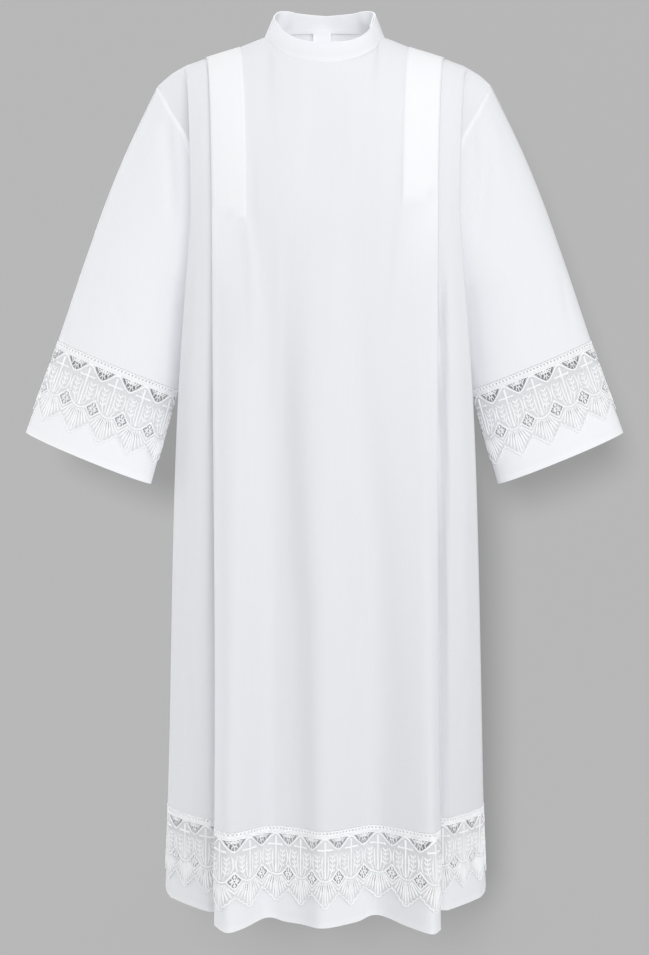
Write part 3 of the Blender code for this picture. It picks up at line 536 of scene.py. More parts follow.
# %% [markdown]
# ## A grid of cloth becomes a piece
#
# Every plain piece starts as one of Blender's own grids, moved onto the points worked out
# above. It gets a flat map of the cloth in metres, so that a weave follows the threads round
# every fold, and a thin wall from a Solidify modifier. The wall grows inwards, so the outside
# of the cloth stays exactly on the form.

# %% Cloth sheets
LOOK = {"front": (0, -1, 0), "back": (0, 1, 0)}


def new_piece(bm, name):
    """Put a finished bmesh into the scene as an object, and let go of the bmesh."""
    mesh = bpy.data.meshes.new(name)
    bm.to_mesh(mesh)
    bm.free()
    piece = bpy.data.objects.new(name, mesh)
    bpy.context.collection.objects.link(piece)
    return piece


def cloth_sheet(name, points, look, wall=CLOTH_WALL, masks=None, closed=False):
    """A piece of cloth on a grid of points [column, row], with a map in metres."""
    columns, rows = points.shape[:2]
    across = lengths_along(points)
    across = across - across[columns // 2]
    down = lengths_along(points.transpose(1, 0, 2)).T
    bm = bmesh.new()
    bmesh.ops.create_grid(bm, x_segments=columns - 1, y_segments=rows - 1, size=1.0)
    flat = np.array([v.co[:2] for v in bm.verts])
    i = np.rint((flat[:, 0] + 1) / 2 * (columns - 1)).astype(int)
    j = np.rint((1 - flat[:, 1]) / 2 * (rows - 1)).astype(int)
    placed = points[i, j]
    flat_map = np.column_stack((across[i, rows // 2], down[i, j]))
    for v, place in zip(bm.verts, placed):
        v.co = place
    for mask_name, mask in (masks or {}).items():
        layer = bm.verts.layers.float.new(mask_name)
        for v, value in zip(bm.verts, mask[i, j]):
            v[layer] = value
    uv = bm.loops.layers.uv.new("cloth")
    for face in bm.faces:
        for loop in face.loops:
            loop[uv].uv = flat_map[loop.vert.index]
    if closed:
        bmesh.ops.remove_doubles(bm, verts=bm.verts, dist=1e-5)
    bm.normal_update()
    spot, direction = Vector(look[0]), Vector(look[1])
    bm.faces.ensure_lookup_table()
    near = min(bm.faces, key=lambda face: (face.calc_center_median() - spot).length)
    if near.normal.dot(direction) < 0:
        bmesh.ops.reverse_faces(bm, faces=bm.faces)
    area = sum(face.calc_area() for face in bm.faces)
    for face in bm.faces:
        face.smooth = True
    for edge in bm.edges:
        edge.smooth = not edge.is_boundary
    piece = new_piece(bm, name)
    solid = piece.modifiers.new("wall", "SOLIDIFY")
    solid.thickness = wall
    solid.offset = -1.0
    solid.use_rim = True
    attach(piece, "root")
    width = float(across[-1].max() - across[0].min())
    print(name, "cloth area", round(area, 3), "m2, half way down", round(width, 3), "m")
    return piece


def inset_ends(points, gap):
    """Draw the first and last column in by a gap, to leave room for the seam."""
    points = points.copy()
    for end, beside in ((0, 1), (-1, -2)):
        reach = points[beside] - points[end]
        size = np.linalg.norm(reach, axis=-1, keepdims=True)
        points[end] += reach / np.maximum(size, 1e-9) * np.minimum(gap, size / 2)
    return points


# %% Front and back panels
SHOULDER_SEAM = -0.0003                 # the two shoulder edges overlap by this much each
panels = {}
for word, points, masks, away in (("front", front_points, {"doubled_and_painted_light": doubled_and_painted_light}, -1),
                                  ("back", back_points, None, 1)):
    cut = inset_ends(points[:, :LACE_ROW + 1], SEAM)
    cut[:, 0, 1] += away * SHOULDER_SEAM
    masks = {name: mask[:, :LACE_ROW + 1] for name, mask in (masks or {}).items()}
    piece = cloth_sheet("alb_" + word, cut, ((0, away * 0.14, -0.5), LOOK[word]), masks=masks)
    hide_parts(word + "_top", word + "_middle", word + "_skirt")
    panels[word] = piece

# %% [markdown]
# ## Sleeves
#
# A sleeve is a tube that starts as the armhole, a tall leaf shape, and widens into the flat
# oval of the cuff. Six outlines down the arm give its form. The cloth between them is smooth,
# but for a soft hollow under the shoulder and two faint folds above the lace, where the width
# of the sleeve falls together a little.

# %% Sleeve form
SLEEVE_TILT = math.radians(22.5)
SLEEVE_Y = 0.005
# x outwards and z of the middle, half width, half depth
SLEEVE_SECTIONS = {
    "upper": (0.2897, -0.3841, 0.0986, 0.055),
    "braid": (0.3303, -0.5128, 0.1032, 0.046),
    "edge": (0.3800, -0.6625, 0.1100, 0.043),
}
ARM_SEAM = 0.0003
ARM_UNDER, ARM_SINK = 0.0022, 0.0013       # it starts this far under the edge of the panels, and deeper
SLEEVE_SWELL, SLEEVE_SWELL_RISE = 0.006, 0.4
SLEEVE_SHARES = (0.0, 0.12, 0.4, 0.7)
SLEEVE_COLUMNS = 121
SLEEVE_ROWS = (10, 9, 9, 9, 15)           # rows in each span of the six outlines
SLEEVE_CREASES = {
    -1: ((((-0.105, -0.2430), (-0.15, -0.2440), (-0.20, -0.2400), (-0.27, -0.2350), (-0.33, -0.2330)),
          -4.2, 19, 13, 0.05, 0.09),
         (((-0.110, -0.2640), (-0.17, -0.2700), (-0.24, -0.2760)), 1.6, 14, 14, 0.05, 0.06),
         (((-0.360, -0.3460), (-0.42, -0.3270), (-0.50, -0.3060)), -1.5, 9, 12, 0.05, 0.05),
         (((-0.330, -0.3560), (-0.42, -0.3740), (-0.49, -0.3900)), -1.2, 9, 8, 0.06, 0.04),
         (((-0.300, -0.2150), (-0.40, -0.2270), (-0.52, -0.2420)), -0.7, 14, 10, 0.10, 0.03)),
    1: ((((-0.115, 0.2390), (-0.16, 0.2440), (-0.21, 0.2470), (-0.28, 0.2430), (-0.34, 0.2400)),
         -4.4, 12, 18, 0.05, 0.09),
        (((-0.120, 0.2650), (-0.18, 0.2730), (-0.25, 0.2800)), 1.4, 14, 13, 0.05, 0.06),
        (((-0.340, 0.3400), (-0.41, 0.3270), (-0.49, 0.3150)), -1.4, 11, 9, 0.05, 0.05),
        (((-0.350, 0.3700), (-0.42, 0.3830), (-0.49, 0.3960)), -1.3, 8, 9, 0.05, 0.04),
        (((-0.310, 0.2190), (-0.41, 0.2300), (-0.53, 0.2450)), -0.7, 10, 14, 0.10, 0.03)),
}
SLEEVE_BACK_CREASES = {
    -1: ((((-0.120, -0.2360), (-0.20, -0.2340), (-0.30, -0.2320)), -3.4, 15, 13, 0.05, 0.10),
         (((-0.300, -0.3060), (-0.40, -0.3120), (-0.50, -0.3300)), -1.8, 12, 14, 0.08, 0.05)),
    1: ((((-0.110, 0.2400), (-0.20, 0.2380), (-0.32, 0.2300)), -3.6, 14, 15, 0.05, 0.10),
        (((-0.280, 0.2960), (-0.38, 0.3080), (-0.50, 0.3220)), -1.6, 13, 11, 0.08, 0.05)),
}


def sleeve_section(side, name, angles):
    """Points of a sleeve outline: 0 is its outer edge, 90 its front."""
    x, z, half, depth = SLEEVE_SECTIONS[name]
    turn = np.radians(angles)
    across = half * np.cos(turn)
    return np.column_stack((side * (x + across * math.cos(SLEEVE_TILT)), SLEEVE_Y - depth * np.sin(turn),
                            z + across * math.sin(SLEEVE_TILT)))


def armhole_ring(side, angles):
    """Points of the armhole by angle: the front half first, then back up behind."""
    table = np.array(ARMHOLE)
    halves = {}
    for front in (True, False):
        path = smooth_run(np.column_stack((side * table[:, 1], table[:, 2 if front else 3], table[:, 0])))
        size = lengths_along(path)
        share = (angles if front else 360 - angles) / 180 * size[-1]
        halves[front] = np.column_stack([np.interp(share, size, path[:, k]) for k in range(3)])
    ring = np.where((angles <= 180)[:, None], halves[True], halves[False])
    return ring + np.array((side * ARM_SEAM, 0, 0))


def sleeve_points(side):
    """The grid of one sleeve, from the armhole to the braid."""
    angles = np.linspace(0, 360, SLEEVE_COLUMNS)
    start, stop = armhole_ring(side, angles), sleeve_section(side, "upper", angles)
    reach = stop - start
    distance = np.linalg.norm(reach, axis=1, keepdims=True)
    outlines = []
    for share in SLEEVE_SHARES:
        swell = SLEEVE_SWELL * math.sin(math.pi * share) * np.maximum(0, np.cos(np.radians(angles)))
        outlines.append(start + reach * np.maximum(share, ARM_SEAM / distance)
                        + swell[:, None] * np.array((side, 0, SLEEVE_SWELL_RISE)))
    outlines += [stop, sleeve_section(side, "braid", angles)]
    where = [np.linspace(k, k + 1, n + 1)[:-1] for k, n in enumerate(SLEEVE_ROWS)]
    where = np.concatenate(where + [[len(outlines) - 1.0]])
    points = between(np.array(outlines), where).transpose(1, 0, 2)
    out = grid_normals(points)
    quarter = SLEEVE_COLUMNS // 4
    if out[quarter, 20, 1] > 0:
        out = -out
    turn = np.radians(angles)
    points = press(points, out, SLEEVE_CREASES[side], soft_step(np.sin(turn) * 2.5))
    points = press(points, out, SLEEVE_BACK_CREASES[side], soft_step(-np.sin(turn) * 2.5))
    under = points[:, 0] - np.array((side * ARM_UNDER, 0, 0)) - out[:, 0] * ARM_SINK
    return np.concatenate((under[:, None], points), axis=1)


# %% Both sleeves
SIDES = {-1: "left", 1: "right"}
ARM_BAND = 0.0075                         # width of the doubled cloth along the armhole seam
SLEEVE_LAYERS_AND_PAINTED_LIGHT = 0.35                      # painted light: the whole sleeve is drawn this much whiter to brighten it; a part of it stands for the back layer showing through the front
for side, word in SIDES.items():
    points = sleeve_points(side)
    away = lengths_along(points.transpose(1, 0, 2)).T
    # painted light: the mask never falls below the sleeve's whitening, so the whole sleeve is drawn whiter
    band = np.maximum(1 - soft_step((away - ARM_BAND - ARM_UNDER) / 0.0012), SLEEVE_LAYERS_AND_PAINTED_LIGHT)
    sleeve = cloth_sheet("alb_sleeve_" + word, points, ((side * 0.30, -0.05, -0.38), LOOK["front"]),
                         masks={"doubled_and_painted_light": band}, closed=True)
    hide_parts("sleeve_" + word)
    panels["sleeve_" + word] = sleeve

# %% [markdown]
# ## Stand collar
#
# The collar is one stiffened strip round the neck, higher behind than in front, and its top
# leans a little inwards. Its ends overlap at the viewer's right: the end that comes from the
# front lies outside, the one from the back slips under it. A soft strip this low never stands
# quite even, so it gets a few shallow dents where it bends most.

# %% Collar
# angle from the front (0) to the back (180), height of the top edge, lean inwards
COLLAR_TOP = (
    (0, -0.0175, 0.0150),
    (30, -0.0125, 0.0150),
    (60, 0.0060, 0.0150),
    (90, 0.0310, 0.0145),
    (125, 0.0455, 0.0080),
    (155, 0.0440, 0.0040),
    (180, 0.0420, 0.0020),
)
COLLAR_START, COLLAR_END = -20.0, 379.0       # degrees round from the right side, by the front
COLLAR_COLUMNS, COLLAR_ROWS = 161, 11
COLLAR_WALL, COLLAR_LIFT = 0.0019, -0.0014
COLLAR_TUCK, COLLAR_TUCK_TURN = 0.0036, 26.0
COLLAR_BAND = 0.20                            # the doubled lower edge, as a share of the height
COLLAR_BOW = 0.0012
COLLAR_FOOT = 0.0014                          # its foot stands this far out, over the neck edge
# angle round, half width in degrees, depth in mm, share of the height where it is deepest
COLLAR_DENTS = ((228, 9, -2.2, 0.75), (214, 8, 1.3, 0.6), (312, 9, -2.4, 0.7), (326, 7, 1.2, 0.6),
                (196, 8, -1.4, 0.5), (160, 12, -0.9, 0.5), (22, 11, -1.1, 0.5), (118, 16, 0.7, 0.6),
                (72, 14, 0.6, 0.5), (268, 20, 0.9, 0.6))


def neck_base(turn):
    """Points of the neck base, by angle from the right side round by the front."""
    sine = np.sin(np.radians(turn))
    front = sine >= 0
    size = np.abs(sine)
    return np.column_stack((NECK_HALF * np.cos(np.radians(turn)) + NECK_X * size,
                            np.where(front, -NECK_FRONT, NECK_BACK) * size,
                            np.where(front, -NECK_FRONT_DROP * size ** NECK_FRONT_CURVE,
                                     NECK_BACK_RISE * size)))


def collar_points():
    """The grid of the collar, from its outer end round by the front."""
    turn = np.linspace(COLLAR_START, COLLAR_END, COLLAR_COLUMNS)
    base = neck_base(turn)
    from_front = np.degrees(np.arctan2(np.abs(base[:, 0] - NECK_X) / NECK_HALF,
                                       -base[:, 1] / np.where(base[:, 1] < 0, NECK_FRONT, NECK_BACK)))
    path = smooth_run(COLLAR_TOP)
    height = np.interp(from_front, path[:, 0], path[:, 1])
    lean = np.interp(from_front, path[:, 0], path[:, 2])
    inward = np.column_stack((NECK_X - base[:, 0], (NECK_BACK - NECK_FRONT) / 2 - base[:, 1], 0 * turn))
    inward /= np.linalg.norm(inward, axis=1, keepdims=True)
    top = base + inward * lean[:, None]
    top[:, 2] = height
    tuck = COLLAR_TUCK * soft_step((turn - 360 + COLLAR_TUCK_TURN) / COLLAR_TUCK_TURN)
    share = np.linspace(0, 1, COLLAR_ROWS)
    points = base[:, None] * (1 - share[None, :, None]) + top[:, None] * share[None, :, None]
    points[..., 2] += COLLAR_LIFT * (1 - share)
    move = tuck[:, None] - (COLLAR_BOW * np.sin(np.pi * share) + COLLAR_FOOT * (1 - share) ** 3)[None, :]
    for middle, half, depth, high in COLLAR_DENTS:
        bump = 0.5 + 0.5 * np.cos(np.pi * np.clip((turn - middle) / half, -1, 1))
        move = move - depth * MM * bump[:, None] * soft_step(share / high)[None, :]
    return points + inward[:, None] * move[..., None], share


points, share = collar_points()
band = np.broadcast_to(0.3 - 0.3 * soft_step((share - COLLAR_BAND) / 0.05), points.shape[:2])
collar = cloth_sheet("alb_collar", points, ((0, -0.09, -0.03), LOOK["front"]), wall=COLLAR_WALL,
                     masks={"doubled_and_painted_light": band})
bevel = collar.modifiers.new("edge", "BEVEL")
bevel.width, bevel.segments, bevel.limit_method = 0.0006, 2, "ANGLE"
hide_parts("collar")

# %% [markdown]
# ## Neck label
#
# A small woven label is sewn inside the back of the neck, with a turned edge. It is left bare:
# the weave and the stitched edge are all that a blank label shows.

# %% Label
LABEL_X, LABEL_Y, LABEL_Z = (-0.0184, 0.0104), 0.0530, (0.0005, 0.0148)
LABEL_WALL = 0.0005
LABEL_GRID = (25, 13)
x = np.linspace(*LABEL_X, LABEL_GRID[0])[:, None]
z = np.linspace(LABEL_Z[1], LABEL_Z[0], LABEL_GRID[1])[None, :]
edge = np.minimum(np.minimum(x - LABEL_X[0], LABEL_X[1] - x), np.minimum(z - LABEL_Z[0], LABEL_Z[1] - z))
puff = 0.0004 * soft_step(edge / 0.0015) - 0.0003 * soft_step(edge / 0.005)
points = np.stack(np.broadcast_arrays(x, LABEL_Y - puff, z), axis=-1)
label = cloth_sheet("neck_label_bare", points, ((0, LABEL_Y, 0.01), LOOK["front"]), wall=LABEL_WALL)
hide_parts("neck_label")

# %% [markdown]
# ## The strips round hem and cuffs
#
# Lace and the plain band share one strip of cloth that goes on from the skirt or the sleeve.
# Keeping that strip as a grid of points lets anything flat be wrapped round it later: a place
# along it and a depth below the braid become a point in space, and a height above the cloth
# goes along the normal.

# %% Strips and plain bands
CUFF_COLUMNS = 97
CUFF_ROWS = 19
BAND_TOP = FAN_TOP + 0.0005
BAND_ROWS = 10
BAND_INSET = 0.0014
HEM_TURN = 0.009                          # the turned hem along the lower edge
HEM_PAINTED_LIGHT_AND_TURN, CUFF_PAINTED_LIGHT_AND_TURN = (0.12, 0.35), (0.7, 0.9)     # how much whiter above the turn and on it; above the turn this is painted light that brightens the single plain band, on the turn it adds the second layer


class Strip:
    """A strip of cloth, from the braid to the edge, that flat work is wrapped round."""

    def __init__(self, points, look):
        self.points = points              # [column, row]
        self.look = look
        self.out = grid_normals(points)
        middle = self.out[points.shape[0] // 2, points.shape[1] // 2]
        if middle.dot(np.array(look[1])) < 0:
            self.out = -self.out
        size = lengths_along(points)
        self.along = size[:, points.shape[1] // 2]
        self.length = float(self.along[-1])

    def place(self, s, depth, height):
        """Points in space for places along, depths below the braid and heights above."""
        column = np.interp(s, self.along, np.arange(len(self.along)))
        row = np.clip(depth / LACE_TO_EDGE, 0, 1) * (self.points.shape[1] - 1)
        i = np.clip(column.astype(int), 0, self.points.shape[0] - 2)
        j = np.clip(row.astype(int), 0, self.points.shape[1] - 2)
        a, b = (column - i)[:, None], (row - j)[:, None]

        def mixed(grid):
            return ((grid[i, j] * (1 - a) + grid[i + 1, j] * a) * (1 - b)
                    + (grid[i, j + 1] * (1 - a) + grid[i + 1, j + 1] * a) * b)
        normal = mixed(self.out)
        normal /= np.linalg.norm(normal, axis=1, keepdims=True)
        return mixed(self.points) + normal * np.asarray(height)[:, None]


def cuff_strip(side, front):
    """Front or back half of the strip round a cuff, outer edge to inner edge."""
    angles = np.linspace(0, 180 if front else -180, CUFF_COLUMNS)
    top, bottom = sleeve_section(side, "braid", angles), sleeve_section(side, "edge", angles)
    share = np.linspace(0, 1, CUFF_ROWS)[None, :, None]
    word = "front" if front else "back"
    look = ((side * 0.35, -0.05 if front else 0.05, -0.58), LOOK[word])
    return Strip(inset_ends(top[:, None] * (1 - share) + bottom[:, None] * share, SEAM), look)


strips = {
    "hem_front": Strip(inset_ends(front_points[:, LACE_ROW:], SEAM), ((0, -0.18, -1.3), LOOK["front"])),
    "hem_back": Strip(inset_ends(back_points[:, LACE_ROW:], SEAM), ((0, 0.16, -1.3), LOOK["back"])),
}
for side, word in SIDES.items():
    for face in ("front", "back"):
        strips["cuff_%s_%s" % (word, face)] = cuff_strip(side, face == "front")


def band_grid(strip):
    """The plain band under the points of the lace, set in a little."""
    depth = np.linspace(BAND_TOP, LACE_TO_EDGE, BAND_ROWS)
    s, d = np.meshgrid(strip.along, depth, indexing="ij")
    inset = np.full(s.size, -BAND_INSET)
    return strip.place(s.ravel(), d.ravel(), inset).reshape(*s.shape, 3), depth


def band_painted_light_and_turn(whiter, points, depth):
    """How white a band is drawn: `whiter` gives it above the turn and on it. Above the turn it is painted
    light; the rise at the turn stands for its second layer.
    """
    above, on_it = whiter
    step = soft_step((depth - LACE_TO_EDGE + HEM_TURN) / 0.001)
    return np.broadcast_to(above + (on_it - above) * step, points.shape[:2])


for word in ("front", "back"):
    strip = strips["hem_" + word]
    points, depth = band_grid(strip)
    # the hem band is drawn whiter: painted light above the turn, a second layer on the turn
    painted_light_and_turn = band_painted_light_and_turn(HEM_PAINTED_LIGHT_AND_TURN, points, depth)
    band = cloth_sheet("alb_hem_band_" + word, points, strip.look, masks={"doubled_and_painted_light": painted_light_and_turn})
    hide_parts("hem_band_" + word)
    panels["hem_band_" + word] = band
for side, word in SIDES.items():
    front_grid, depth = band_grid(strips["cuff_%s_front" % word])
    back_grid, _ = band_grid(strips["cuff_%s_back" % word])
    points = np.concatenate((front_grid, back_grid[::-1][1:]))
    points[-1] = points[0]
    # the cuff band is drawn much whiter all over: painted light above the turn, a second layer on the turn
    painted_light_and_turn = band_painted_light_and_turn(CUFF_PAINTED_LIGHT_AND_TURN, points, depth)
    band = cloth_sheet("alb_cuff_band_" + word, points, ((side * 0.37, -0.05, -0.65), LOOK["front"]),
                       masks={"doubled_and_painted_light": painted_light_and_turn}, closed=True)
    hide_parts("cuff_band_" + word)
    panels["cuff_band_" + word] = band
print("strips:", {name: round(strip.length, 3) for name, strip in strips.items()})

# %% [markdown]
# ## One repeat of the lace, drawn flat
#
# Corded lace is made flat, as one repeat again and again: a medallion of fine net with a raised
# cross, ears of wheat beside it, open triangles and diamonds tied with thin bars, and a fan of
# leaf-shaped ribs whose points form the lower edge. Only the right half is drawn here, in
# millimetres from the middle of a medallion and down from the top of the braid. The left half
# is its mirror image, and everything else is copies.

# %% The cords of one repeat
# Each cord: its points (across, down) and its half widths in mm, spread along it.
HALF_CORDS = [
    # outline of the medallion, above and below
    (((0, 12.7), (3.2, 13.5), (8, 17.6), (14, 23.4), (19, 27.6), (24, 30.6)), (1.15, 1.05, 1.05)),
    (((24, 60.8), (19.6, 66.4), (13.6, 73.2), (7, 77.9), (0, 79.4)), (1.1, 1.2, 1.25)),
    # arm of the cross, flared
    (((0, 30), (5, 30), (10, 30), (12.6, 30)), (1.1, 1.2, 1.8)),
    # blade beside the shaft of the cross
    (((3.6, 73.5), (5.0, 64), (5.6, 52), (4.8, 39)), (0.5, 1.15, 1.1, 0.4)),
    # stem of the ear of wheat
    (((6.0, 75.5), (9.6, 68), (12.2, 58), (13.0, 47), (12.6, 39.5)), (0.6, 0.8, 0.8, 0.7, 0.5)),
    # blade beside the joint of two medallions
    (((19.4, 61.5), (21.9, 53), (21.6, 43), (19.4, 36.0)), (0.4, 1.25, 1.1, 0.4)),
    # lower edge of the open diamond, and the bar under it
    (((12.2, 75.2), (18.0, 81.4), (24, 88.2)), (1.0, 0.95, 1.0)),
    (((9.6, 79.4), (16.8, 86.6), (24, 94.0)), (0.8, 1.1, 1.0)),
]
BRIDES = [
    ((21.6, 17.0), (18.4, 16.0)), ((22.0, 20.4), (19.4, 24.8)), ((23.0, 15.8), (21.2, 12.0)),
    ((14.6, 15.6), (11.6, 13.0)), ((16.4, 17.6), (15.4, 21.8)), ((16.8, 13.8), (17.2, 12.0)),
    ((18.8, 68.6), (22.6, 73.4)), ((18.8, 80.8), (22.6, 76.4)), ((20.8, 71.2), (20.2, 78.6)),
]
MIDDLE_BRIDES = [((24, 28.8), (24, 21.2)), ((24, 62.0), (24, 72.6)), ((24, 77.2), (24, 87.8))]
RINGS = (       # middle and radius
    ((24.0, 18.8), 2.5), ((16.4, 15.6), 1.8), ((20.3, 15.2), 1.3), ((24.0, 13.6), 1.5),
    ((24.0, 74.9), 2.2), ((24.0, 68.4), 1.4), ((24.0, 81.4), 1.4), ((18.9, 74.9), 1.4),
)
BRIDE_WIDTHS = (0.85, 0.75, 0.85)
RIBS = [    # start under the medallion, end near the points
    ((2.0, 81.4), (4.6, 113.0)), ((4.6, 81.0), (9.6, 108.2)), ((6.8, 80.4), (14.8, 103.6)),
    ((8.6, 80.2), (19.8, 99.2)),
]
MIDDLE_RIB = ((0, 81.6), (0, 118.0))
RIB_WIDTHS = (0.55, 1.0, 1.35, 1.5, 1.35, 0.6)
TIP, NOTCH, SCALLOPS, SCALLOP = (0.0, 121.2), (24.0, 97.2), 4, 1.9
EARS = (((9.6, 68), (12.2, 58), (13.0, 47), (12.6, 37.5)),)
GRAINS = 4
GRAIN_FIRST, GRAIN_STEP = 0.14, 0.23        # places of the grains up the stem
CORD_FULLNESS = 1.14                      # thread swells over the drawn width
BRAID_STEP = 6.0
BRAID_LINES = ((6.7, 0.75), (8.9, 0.95), (11.2, 0.95))
BRAID_LOOP = ((0.3, 6.0), (0.9, 2.6), (3.0, 0.7), (5.1, 2.6), (5.7, 6.0))


def fan_outline(steps=5):
    """Half of the pointed edge, from the tip to the notch, in shallow scallops."""
    share = np.arange(SCALLOPS * steps + 1) / (SCALLOPS * steps)
    base = np.array(TIP) + np.outer(share, np.array(NOTCH) - np.array(TIP))
    outward = np.array((TIP[1] - NOTCH[1], NOTCH[0] - TIP[0])) / np.hypot(NOTCH[0], TIP[1] - NOTCH[1])
    return base + np.outer(np.abs(np.sin(np.pi * SCALLOPS * share)) * SCALLOP, outward)


def fine(points, step=3.0):
    """Points of a smooth curve, about a step apart."""
    points = np.array(points, dtype=float)
    path = smooth_run(points, 12) if len(points) > 2 else points
    size = lengths_along(path)
    count = max(2, int(round(size[-1] / step)) + 1)
    return np.column_stack([np.interp(np.linspace(0, size[-1], count), size, path[:, k]) for k in range(2)])


def spread(widths, count):
    """Half widths spread evenly along a number of points."""
    return np.interp(np.linspace(0, 1, count), np.linspace(0, 1, len(widths)), widths)


def grains(stem):
    """Pairs of leaf-shaped grains up a stem, and one at its tip."""
    path = smooth_run(stem, 12)
    found = []
    for k in range(GRAINS):
        at = (GRAIN_FIRST + GRAIN_STEP * k) * (len(path) - 1)
        foot, ahead = between(path, [at])[0], between(path, [min(at + 3, len(path) - 1.0)])[0]
        heading = (ahead - foot) / np.linalg.norm(ahead - foot)
        aside = np.array((-heading[1], heading[0]))
        for turn in (-1, 1):
            tip = foot + heading * 5.2 + aside * turn * 4.3
            belly = foot + heading * 2.2 + aside * turn * 2.7
            found.append(((tuple(foot), tuple(belly), tuple(tip)), (0.5, 1.3, 0.6)))
    return found


def mirrored(points):
    """The same points on the other side of the medallion's middle."""
    return [(-u, v) for u, v in points]


def repeat_cords():
    """All cords of a repeat: points in mm and half widths, thick ones and thin ones."""
    half = [(fine(points), widths) for points, widths in HALF_CORDS]
    half += [(fine(points, 2.2), widths) for stem in EARS for points, widths in grains(stem)]
    half += [(fine(ends, 5.5), RIB_WIDTHS) for ends in RIBS]
    half.append((fan_outline(), (1.05, 0.95)))
    thick = half + [(np.array(mirrored(points)), widths) for points, widths in half]
    thick.append((fine(((0, 17.0), (0, 46), (0, 75.5)), 4.5), (1.8, 1.25, 1.25, 1.25, 1.8)))
    thick.append((fine(MIDDLE_RIB, 4.5), RIB_WIDTHS))
    for depth, width in BRAID_LINES:
        thick.append((fine(((-24, depth), (24, depth)), 4.0), (width, width)))
    for k in range(int(LACE_PITCH / MM / BRAID_STEP)):
        loop = np.array(BRAID_LOOP) + (k * BRAID_STEP - 24, 0)
        thick.append((fine(loop, 2.0), (0.6, 0.85, 0.95, 0.85, 0.6)))
    thin = [(fine(points, 3.5), BRIDE_WIDTHS) for points in BRIDES]
    thin += [(np.array(mirrored(points)), widths) for points, widths in thin]
    for middle, radius in RINGS:
        turn = np.linspace(0, 2 * math.pi, 10)
        ring = np.array(middle) + radius * np.column_stack((np.cos(turn), np.sin(turn)))
        thin.append((ring, BRIDE_WIDTHS))
        if middle[0] < 24:
            thin.append((np.array(mirrored(ring)), BRIDE_WIDTHS))
    thin += [(fine(points, 3.5), BRIDE_WIDTHS) for points in MIDDLE_BRIDES]
    return [(points, np.array(widths) * CORD_FULLNESS) for points, widths in thick], thin


thick_cords, thin_cords = repeat_cords()
print("cords in a repeat:", len(thick_cords), "thick,", len(thin_cords), "thin")

# %% [markdown]
# ## Cords as one curve, and the ground as one cut sheet
#
# A cord is a tube whose width changes along it, which is what a curve with a round bevel and a
# radius at each point gives. All cords of the repeat are splines of one curve. The ground is a
# sheet with real holes: its outline and the outlines of the holes are drawn as edges, filled
# with triangles, and cut into small fields, so that it can bend when it is wrapped round.

# %% Mesh of the cords, mesh of the ground
CORD_FLATNESS = 0.62                      # cords are this much flatter than wide
CORD_RISE = 0.00020
THICK_SIDES, THIN_SIDES = 1, 0            # bevel resolution of the curve
FIELD = 0.0048                            # the ground is cut into fields of this size
REPEAT = 48                               # mm, one medallion to the next
SLIT_NARROWED = (0.38, 0.40)              # how far a slit keeps from the ribs, at its two ends
EYELET_SLANT, EYELET_DEPTH = 0.45, 3.9    # lean of an eyelet, and mm from the top of the lace
EYELET_HALF = (0.55, 1.25)                # half width and height of a braid eyelet, mm
TRIANGLE_HOLE = ((7.4, 12.6), (11.2, 18.4), (16.0, 23.2), (20.4, 26.9), (24.0, 29.0))
DIAMOND_HOLE = ((24.0, 62.4), (19.8, 67.8), (13.9, 74.9), (18.4, 80.6), (24.0, 87.0))
SLIT_SHARES = (0.12, 0.46)                # where the slits between two ribs begin and end


def cord_mesh(name, cords, resolution):
    """Tubes through flat points, lying in the XY plane, in metres."""
    curve = bpy.data.curves.new(name, "CURVE")
    curve.dimensions, curve.twist_mode = "3D", "Z_UP"
    curve.bevel_depth, curve.bevel_resolution, curve.use_fill_caps = 1.0, resolution, True
    for points, widths in cords:
        spline = curve.splines.new("POLY")
        spline.points.add(len(points) - 1)
        for knot, (u, v), width in zip(spline.points, points, spread(widths, len(points))):
            knot.co = (u * MM, -v * MM, 0, 1)
            knot.radius = width * MM
    holder = bpy.data.objects.new(name, curve)
    bpy.context.collection.objects.link(holder)
    bpy.context.view_layer.update()
    mesh = bpy.data.meshes.new_from_object(holder.evaluated_get(bpy.context.evaluated_depsgraph_get()))
    bpy.data.objects.remove(holder)
    bpy.data.curves.remove(curve)
    return mesh


def hole_rings():
    """Outlines of the gaps of a repeat, which runs from one medallion's middle to the next."""
    rings = [list(TRIANGLE_HOLE) + [(REPEAT - u, v) for u, v in TRIANGLE_HOLE[-2::-1]],
             list(DIAMOND_HOLE) + [(REPEAT - u, v) for u, v in DIAMOND_HOLE[-2:0:-1]]]
    near, far = SLIT_SHARES
    upper, lower = SLIT_NARROWED
    ribs = [MIDDLE_RIB] + RIBS
    for a, b in zip(ribs[:-1], ribs[1:]):
        a0, a1, b0, b1 = (np.array(p) for p in (*a, *b))
        p, q = a0 + (a1 - a0) * near, b0 + (b1 - b0) * near
        r, s = a0 + (a1 - a0) * far, b0 + (b1 - b0) * far
        ring = [p * (1 - upper) + q * upper, q * (1 - upper) + p * upper,
                s * (1 - lower) + r * lower, r * (1 - lower) + s * lower]
        rings.append([tuple(x) for x in ring])
        rings.append([(REPEAT - x[0], x[1]) for x in ring])
    half_width, half_height = EYELET_HALF
    turns = np.linspace(0, 2 * math.pi, 9)[:-1]
    for k in range(int(LACE_PITCH / MM / BRAID_STEP)):
        middle = (k + 0.5) * BRAID_STEP
        rings.append([(middle + half_width * math.cos(t) - half_height * math.sin(t) * EYELET_SLANT,
                       EYELET_DEPTH + half_height * math.sin(t)) for t in turns])
    return rings


